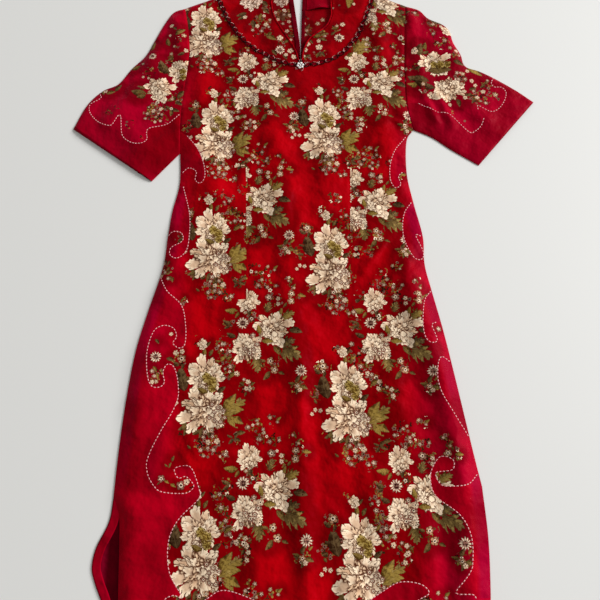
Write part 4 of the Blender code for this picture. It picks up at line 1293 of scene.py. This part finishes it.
def add_strip(name, grid, level, stands_for, finish):
    """A strip of cloth laid on another, lifted by h exp(-(d/r)^2) about the corner that stands away."""

    def height(plan):
        return level + LIFT * np.exp(-((np.hypot(*np.moveaxis(plan - LIFTED, -1, 0)) / LIFT_REACH) ** 2))

    return add_cloth(name, [grid], height, stands_for, finish)


facings = {"left": [], "right": []}
for side, opening, width, turn in (("left", OPENING_LEFT, 9 * MM, 1), ("right", OPENING_RIGHT, 7 * MM, -1)):
    edge = moved_left(curve_through(opening, OPENING_ROWS), turn * SEAM_GAP)
    grid = strip_between(edge, moved_left(edge, turn * width), 6)
    facings[side].append(add_strip(f"opening_facing_{side}", grid, TAPE_LEVEL,
                                   f"back_opening_facing_{side}", tape_satin))
for side, corners in (
    ("left", ((-33.5, 566), (-84, 574), (-82, 598.6), (-58, 592.4), (-36.3, 590))),
    ("right", ((2.6, 534), (60, 540), (61, 598.2), (35, 592.4), (4, 590))),
):
    low_inner, low_outer, top_outer, top_middle, top_inner = corners
    inner = curve_through((low_inner, top_inner), 20)
    outer = curve_through((low_outer, top_outer), 20)
    grid = patch(inner, outer, curve_through((low_inner, low_outer), 30),
                 curve_through((top_inner, top_middle, top_outer), 30))
    facings[side].append(add_strip(f"neck_facing_{side}", grid, FACING_LEVEL,
                                   f"back_neck_facing_{side}", plain_satin))


# Slit hem: the left slit lies open, and a band of plain satin faces the back's edge inside it.

BAND_INSET, BAND_DEPTH, BAND_LEVEL = 0.6 * MM, 14 * MM, 1.9 * MM
slit_edge = curve_through(SLIT_BACK_LEFT, 60)
band = strip_between(moved_left(slit_edge, -BAND_INSET), moved_left(slit_edge, -BAND_DEPTH), 6)
facings["left"].append(add_strip("slit_hem", band, BAND_LEVEL, None, plain_satin))


# Piping: a bias strip of red satin rolled over a cord, along each half of the neckline.

PIPING_RADIUS = 1.5 * MM


def swept(path, radius, sides):
    """A tube of rings about a path: p + r (n cos a + b sin a), with n across the path in plan and b upward.

    Gives its points and quads. The two ends close to the path's own ends.
    """
    along = np.gradient(path, axis=0)
    along /= np.linalg.norm(along, axis=1)[:, None]
    across = np.column_stack([along[:, 1], -along[:, 0], np.zeros(len(path))])
    across /= np.linalg.norm(across, axis=1)[:, None]
    upward = np.cross(across, along)
    angles = np.linspace(0, math.tau, sides + 1)
    rings = path[:, None] + radius * (
        across[:, None] * np.cos(angles)[None, :, None] + upward[:, None] * np.sin(angles)[None, :, None])
    ends = [np.repeat(path[end][None, None], sides + 1, 1) for end in (0, -1)]
    return quads_of([np.concatenate([ends[0], rings, ends[1]], 0)])


def solid_of(name, points, faces, stands_for, slot, finish):
    """A closed piece from points and quads, with its faces turned outward."""
    mesh = bpy.data.meshes.new(name)
    corners = [tuple(dict.fromkeys(face)) for face in faces.tolist() if len(set(face)) > 2]
    mesh.from_pydata(points, [], corners)
    shape = bmesh.new()
    shape.from_mesh(mesh)
    bmesh.ops.remove_doubles(shape, verts=shape.verts, dist=1e-6)
    bmesh.ops.recalc_face_normals(shape, faces=shape.faces)
    shape.to_mesh(mesh)
    shape.free()
    mesh.shade_smooth()
    return add_piece(name, mesh, stands_for, slot, finish)


piped_satin = satin_finish("piped satin", clouded(120.0, 2.0, 0.3, 0.7, RED, DEEP_RED))
for side, neckline in (("left", NECKLINE_LEFT), ("right", NECKLINE_RIGHT)):
    route = curve_through(neckline, 110)
    path = np.column_stack([route, front_level(route) - CLOTH_WALL + PIPING_RADIUS])
    points, faces = swept(path, PIPING_RADIUS, 12)
    solid_of(f"piping_{side}", points, faces, f"neck_piping_{side}", "piping", piped_satin)


# Beaded trim: a narrow dark red ribbon over the yoke seam, its dark red partly painted shade round the
# beads. Smoky beads are sewn to it in oval loops, with a short bar of beads between one loop and the next,
# and pale beads on one side of each loop and on the steeper bars are painted glints.

RIBBON_HALF, RIBBON_LIFT = 2.4 * MM, 0.8 * MM
LOOP_PITCH, LOOP_LENGTH, LOOP_WIDTH, BAR_STEP, BEAD = 14.2 * MM, 6.2 * MM, 4.2 * MM, 1.8 * MM, 1.05 * MM
seam_route = joined(curve_through(YOKE_SEAM_LEFT, 160)[::-1], curve_through(YOKE_SEAM_RIGHT, 160))
ribbon_grid = strip_between(moved_left(seam_route, -RIBBON_HALF), moved_left(seam_route, RIBBON_HALF), 4)
# Painted shade: the ribbon's dark red stands partly for the shade round the beads.
dark_ribbon_and_shade = satin_finish("dark ribbon", clouded(700.0, 2.0, 0.4, 0.6, ink(126, 0, 14), ink(88, 0, 10)))
ribbon = add_cloth("trim_ribbon", [ribbon_grid], lambda plan: front_level(plan) + RIBBON_LIFT, "neck_trim",
                   dark_ribbon_and_shade)


def glass(name, dark, light, roughness, gloss):
    """Glass: one colour, with streaks of a lighter one."""

    def inputs_from(place):
        return {"Base Color": blend(between(noise(place, 520.0, 1.0), 0.55, 0.62), dark, light),
                "Roughness": roughness, "Specular IOR Level": gloss, "Specular Tint": light,
                "Coat Weight": gloss * 0.3, "Coat Roughness": 0.08}

    return new_finish(name, inputs_from)


def beads_at(name, centres, radius, finish, squash=1.0):
    """Round beads: each one a ball of rings at the centre, c + r (sin a cos b, sin a sin b, s cos a)."""
    down, round_it = np.meshgrid(np.linspace(0, math.pi, 6), np.linspace(0, math.tau, 9), indexing="ij")
    out = np.sin(down)
    ball = np.stack([out * np.cos(round_it), out * np.sin(round_it), squash * np.cos(down)], -1)
    points, faces = quads_of([centre + radius * ball for centre in centres])
    return solid_of(name, points, faces, None, "beads", finish)


def turned_by(vector, angle):
    c, s = math.cos(angle), math.sin(angle)
    return np.array((vector[0] * c - vector[1] * s, vector[0] * s + vector[1] * c))


chance = np.random.default_rng(11)
seam_length = run_of(seam_route)[-1]
loops = int(seam_length / LOOP_PITCH)
bead_middles, glint_beads = [], []
for loop in range(loops):
    at = (loop + 0.5) * seam_length / loops
    middle = places_along(seam_route, at)
    ahead = places_along(seam_route, at + MM) - middle
    ahead /= np.hypot(*ahead)
    if np.hypot(*(middle - np.array(YOKE_BOTTOM) * MM)) < 9 * MM:
        continue
    first = turned_by(ahead, chance.uniform(-0.5, 0.5))
    second = np.array((-first[1], first[0]))
    # Painted glint: the beads on one side of each loop are pale.
    glint = chance.uniform(1.4, 3.4)
    for angle in np.linspace(0, math.tau, 17)[:-1] + chance.uniform(0, 0.4):
        glint_beads.append(math.cos(angle - glint) > 0.72)
        bead_middles.append(middle + first * LOOP_LENGTH * math.cos(angle)
                            + second * LOOP_WIDTH * math.sin(angle))
    # Painted glint: a bar that leans more than 1.6 is pale.
    lean = chance.uniform(0.7, 2.2)
    bar = turned_by(ahead, lean)
    for share in (-1.0, 0.0, 1.0):
        glint_beads.append(lean > 1.6)
        bead_middles.append(middle + ahead * LOOP_PITCH / 2 + bar * share * BAR_STEP)
bead_middles, glint_beads = np.array(bead_middles), np.array(glint_beads)
bead_centres = np.column_stack([bead_middles, front_level(bead_middles) + RIBBON_LIFT + 0.8 * BEAD])
smoky = glass("smoky glass", ink(26, 6, 6), ink(70, 34, 30), 0.35, 0.08)
# Painted glint: pale pinkish glass stands for the glints on the dark beads.
painted_glint = glass("silvered glass", ink(150, 96, 92), ink(236, 196, 188), 0.15, 0.5)
trim_beads = [beads_at("smoky_beads", bead_centres[~glint_beads], BEAD, smoky, 0.85),
              beads_at("painted_glint_beads", bead_centres[glint_beads], BEAD, painted_glint, 0.85)]


# Neck flower: six clear stones round a seventh, set over the foot of the yoke, with beaded stamens that are
# smoky near the stones and pale at their tips, a painted glint.

PETALS, PETAL_REACH, PETAL_SIZE, HEART_SIZE = 6, 4.8 * MM, 2.5 * MM, 2.0 * MM
STONE_SLOPES, STONE_HEIGHTS = np.array((0.0, 0.75, 1.25, 1.75)), np.array((1.5, 1.15, 0.35, 0.0)) * MM
RAYS, RAY_BEADS, RAY_START, RAY_STEP, RAY_BEAD = 11, 4, 7.4, 1.55, 0.8 * MM
flower_middle = np.array(YOKE_BOTTOM) * MM
flower_level = float(front_level(flower_middle[None])[0]) + 1.6 * MM
stone = glass("clear stone", ink(252, 249, 244), ink(188, 180, 172), 0.15, 0.6)
stone_grids = []
for petal in range(PETALS + 1):
    angle, outer_one = petal * math.tau / PETALS + 0.2, petal < PETALS
    middle = PETAL_REACH * np.array((math.cos(angle), math.sin(angle))) if outer_one else np.zeros(2)
    size = PETAL_SIZE if outer_one else HEART_SIZE
    down, round_it = np.meshgrid(STONE_SLOPES, np.linspace(0, math.tau, 9), indexing="ij")
    reach = np.sin(np.minimum(down, math.pi / 2)) * size
    lift = STONE_HEIGHTS[:, None] + 0 * round_it
    swell = 1 + 0.25 * np.cos(round_it - angle) * outer_one
    stone_grids.append(np.stack([flower_middle[0] + middle[0] + reach * swell * np.cos(round_it),
                                 flower_middle[1] + middle[1] + reach * swell * np.sin(round_it),
                                 flower_level + lift], -1))
    bottom = stone_grids[-1][-1:].copy()
    centre = bottom.mean(axis=1, keepdims=True) + 0 * bottom
    stone_grids.append(np.concatenate([bottom, centre], 0))
points, faces = quads_of(stone_grids)
flower = solid_of("stone_flower", points, faces, "neck_flower", "stones", stone)
flower.data.shade_flat()
stamens = []
for ray in range(RAYS):
    angle = ray * math.tau / RAYS + 0.15
    for step in range(RAY_BEADS):
        reach = (RAY_START + step * RAY_STEP + (ray % 3) * 0.5) * MM
        bend = angle + 0.06 * step * (-1) ** ray
        stamens.append(flower_middle + reach * np.array((math.cos(bend), math.sin(bend))))
stamens = np.array(stamens)
stamens = np.column_stack([stamens, front_level(stamens) + 1.5 * MM])
# Painted glint: the two outer beads of each stamen are pale.
tips = np.arange(len(stamens)) % RAY_BEADS > 1
stamen_beads = [beads_at("smoky_stamens", stamens[~tips], RAY_BEAD, smoky),
                beads_at("painted_glint_stamens", stamens[tips], RAY_BEAD, painted_glint)]


# Scroll stitches: the border's line is worked in short straight stitches of pale pink floss. Each stitch is
# a low rounded bar on the cloth.

STITCH, STITCH_WIDTH, STITCH_PITCH, STITCH_RISE = 4.2 * MM, 1.5 * MM, 5.6 * MM, 0.35 * MM
STITCH_FOOT = 0.04 * MM


def floss_inputs(place):
    strands = noise(place, 900.0)
    return {"Base Color": blend(between(strands, 0.35, 0.65), ink(252, 202, 202), ink(230, 150, 154)),
            "Normal": node(place.tree, "Bump", {}, {"Strength": 0.4, "Distance": 0.0002, "Height": strands}),
            "Roughness": 0.6}


floss = new_finish("pink floss", floss_inputs)


def stitches_along(name, border):
    """Bars of floss: at each place along a stitched curve an oval fan, turned along it, its middle raised.

    The oval is (sign(cos a) |cos a|^0.6, sign(sin a) |sin a|^0.8) times half the stitch's length and width.
    """
    points, faces = [], []
    rim = np.linspace(0, math.tau, 11)[:-1]
    oval = np.column_stack([np.sign(np.cos(rim)) * np.abs(np.cos(rim)) ** 0.6 * STITCH / 2,
                            np.sign(np.sin(rim)) * np.abs(np.sin(rim)) ** 0.8 * STITCH_WIDTH / 2])
    for route in [curve_through(knots, 14 * len(knots)) for stitched, knots in border if stitched]:
        length = run_of(route)[-1]
        count = int(length / STITCH_PITCH)
        at = (np.arange(count) + 0.5) * length / count
        middles = places_along(route, at)
        along = places_along(route, at + MM) - places_along(route, at - MM)
        along = along / np.hypot(*along.T)[:, None]
        across = np.column_stack([-along[:, 1], along[:, 0]])
        plan = middles[:, None] + oval[None, :, :1] * along[:, None] + oval[None, :, 1:] * across[:, None]
        plan = np.concatenate([plan, middles[:, None]], 1)
        lift = np.concatenate([np.full(len(rim), STITCH_FOOT), [STITCH_RISE]])
        for bar in np.concatenate([plan, (front_level(plan) + lift)[..., None]], -1):
            first = len(points)
            points += list(bar)
            faces += [(first + spot, first + (spot + 1) % len(rim), first + len(rim))
                      for spot in range(len(rim))]
            faces.append(tuple(first + spot for spot in reversed(range(len(rim)))))
    mesh = bpy.data.meshes.new(name)
    mesh.from_pydata(points, [], faces)
    mesh.shade_smooth()
    return add_piece(name, mesh, None, "printed_satin", floss)


scroll = stitches_along("scroll_stitches", FRONT_BORDER)
cuff_scrolls = {"left": stitches_along("left_cuff_stitches", LEFT_CUFF_BORDER),
                "right": stitches_along("right_cuff_stitches", RIGHT_CUFF_BORDER)}


# Stage: a plain pale table top and soft daylight from the upper right.

floor = bpy.data.objects.new("floor", bpy.data.meshes.new("floor"))
floor.data.from_pydata([(-4, -4, 0), (4, -4, 0), (4, 4, 0), (-4, 4, 0)], [], [(0, 1, 2, 3)])
bpy.context.collection.objects.link(floor)
table = bpy.data.materials.new("pale table")
table.use_nodes = True
feed(table.node_tree, table.node_tree.nodes["Principled BSDF"],
     {"Base Color": (0.79, 0.79, 0.77, 1), "Roughness": 0.6})
floor.data.materials.append(table)

key = bpy.data.objects.new("window", bpy.data.lights.new("window", "AREA"))
key.data.shape = "RECTANGLE"
key.data.size, key.data.size_y = 4.4, 3.6
key.data.energy = 1000
key.location = (7.4, 2.6, 3.8)
key.rotation_euler = (key.location.normalized()).to_track_quat("Z", "Y").to_euler()
bpy.context.collection.objects.link(key)
world = bpy.data.worlds.new("room")
world.use_nodes = True
feed(world.node_tree, world.node_tree.nodes["Background"], {"Color": (1.0, 0.99, 0.97, 1), "Strength": 0.38})
bpy.context.scene.world = world
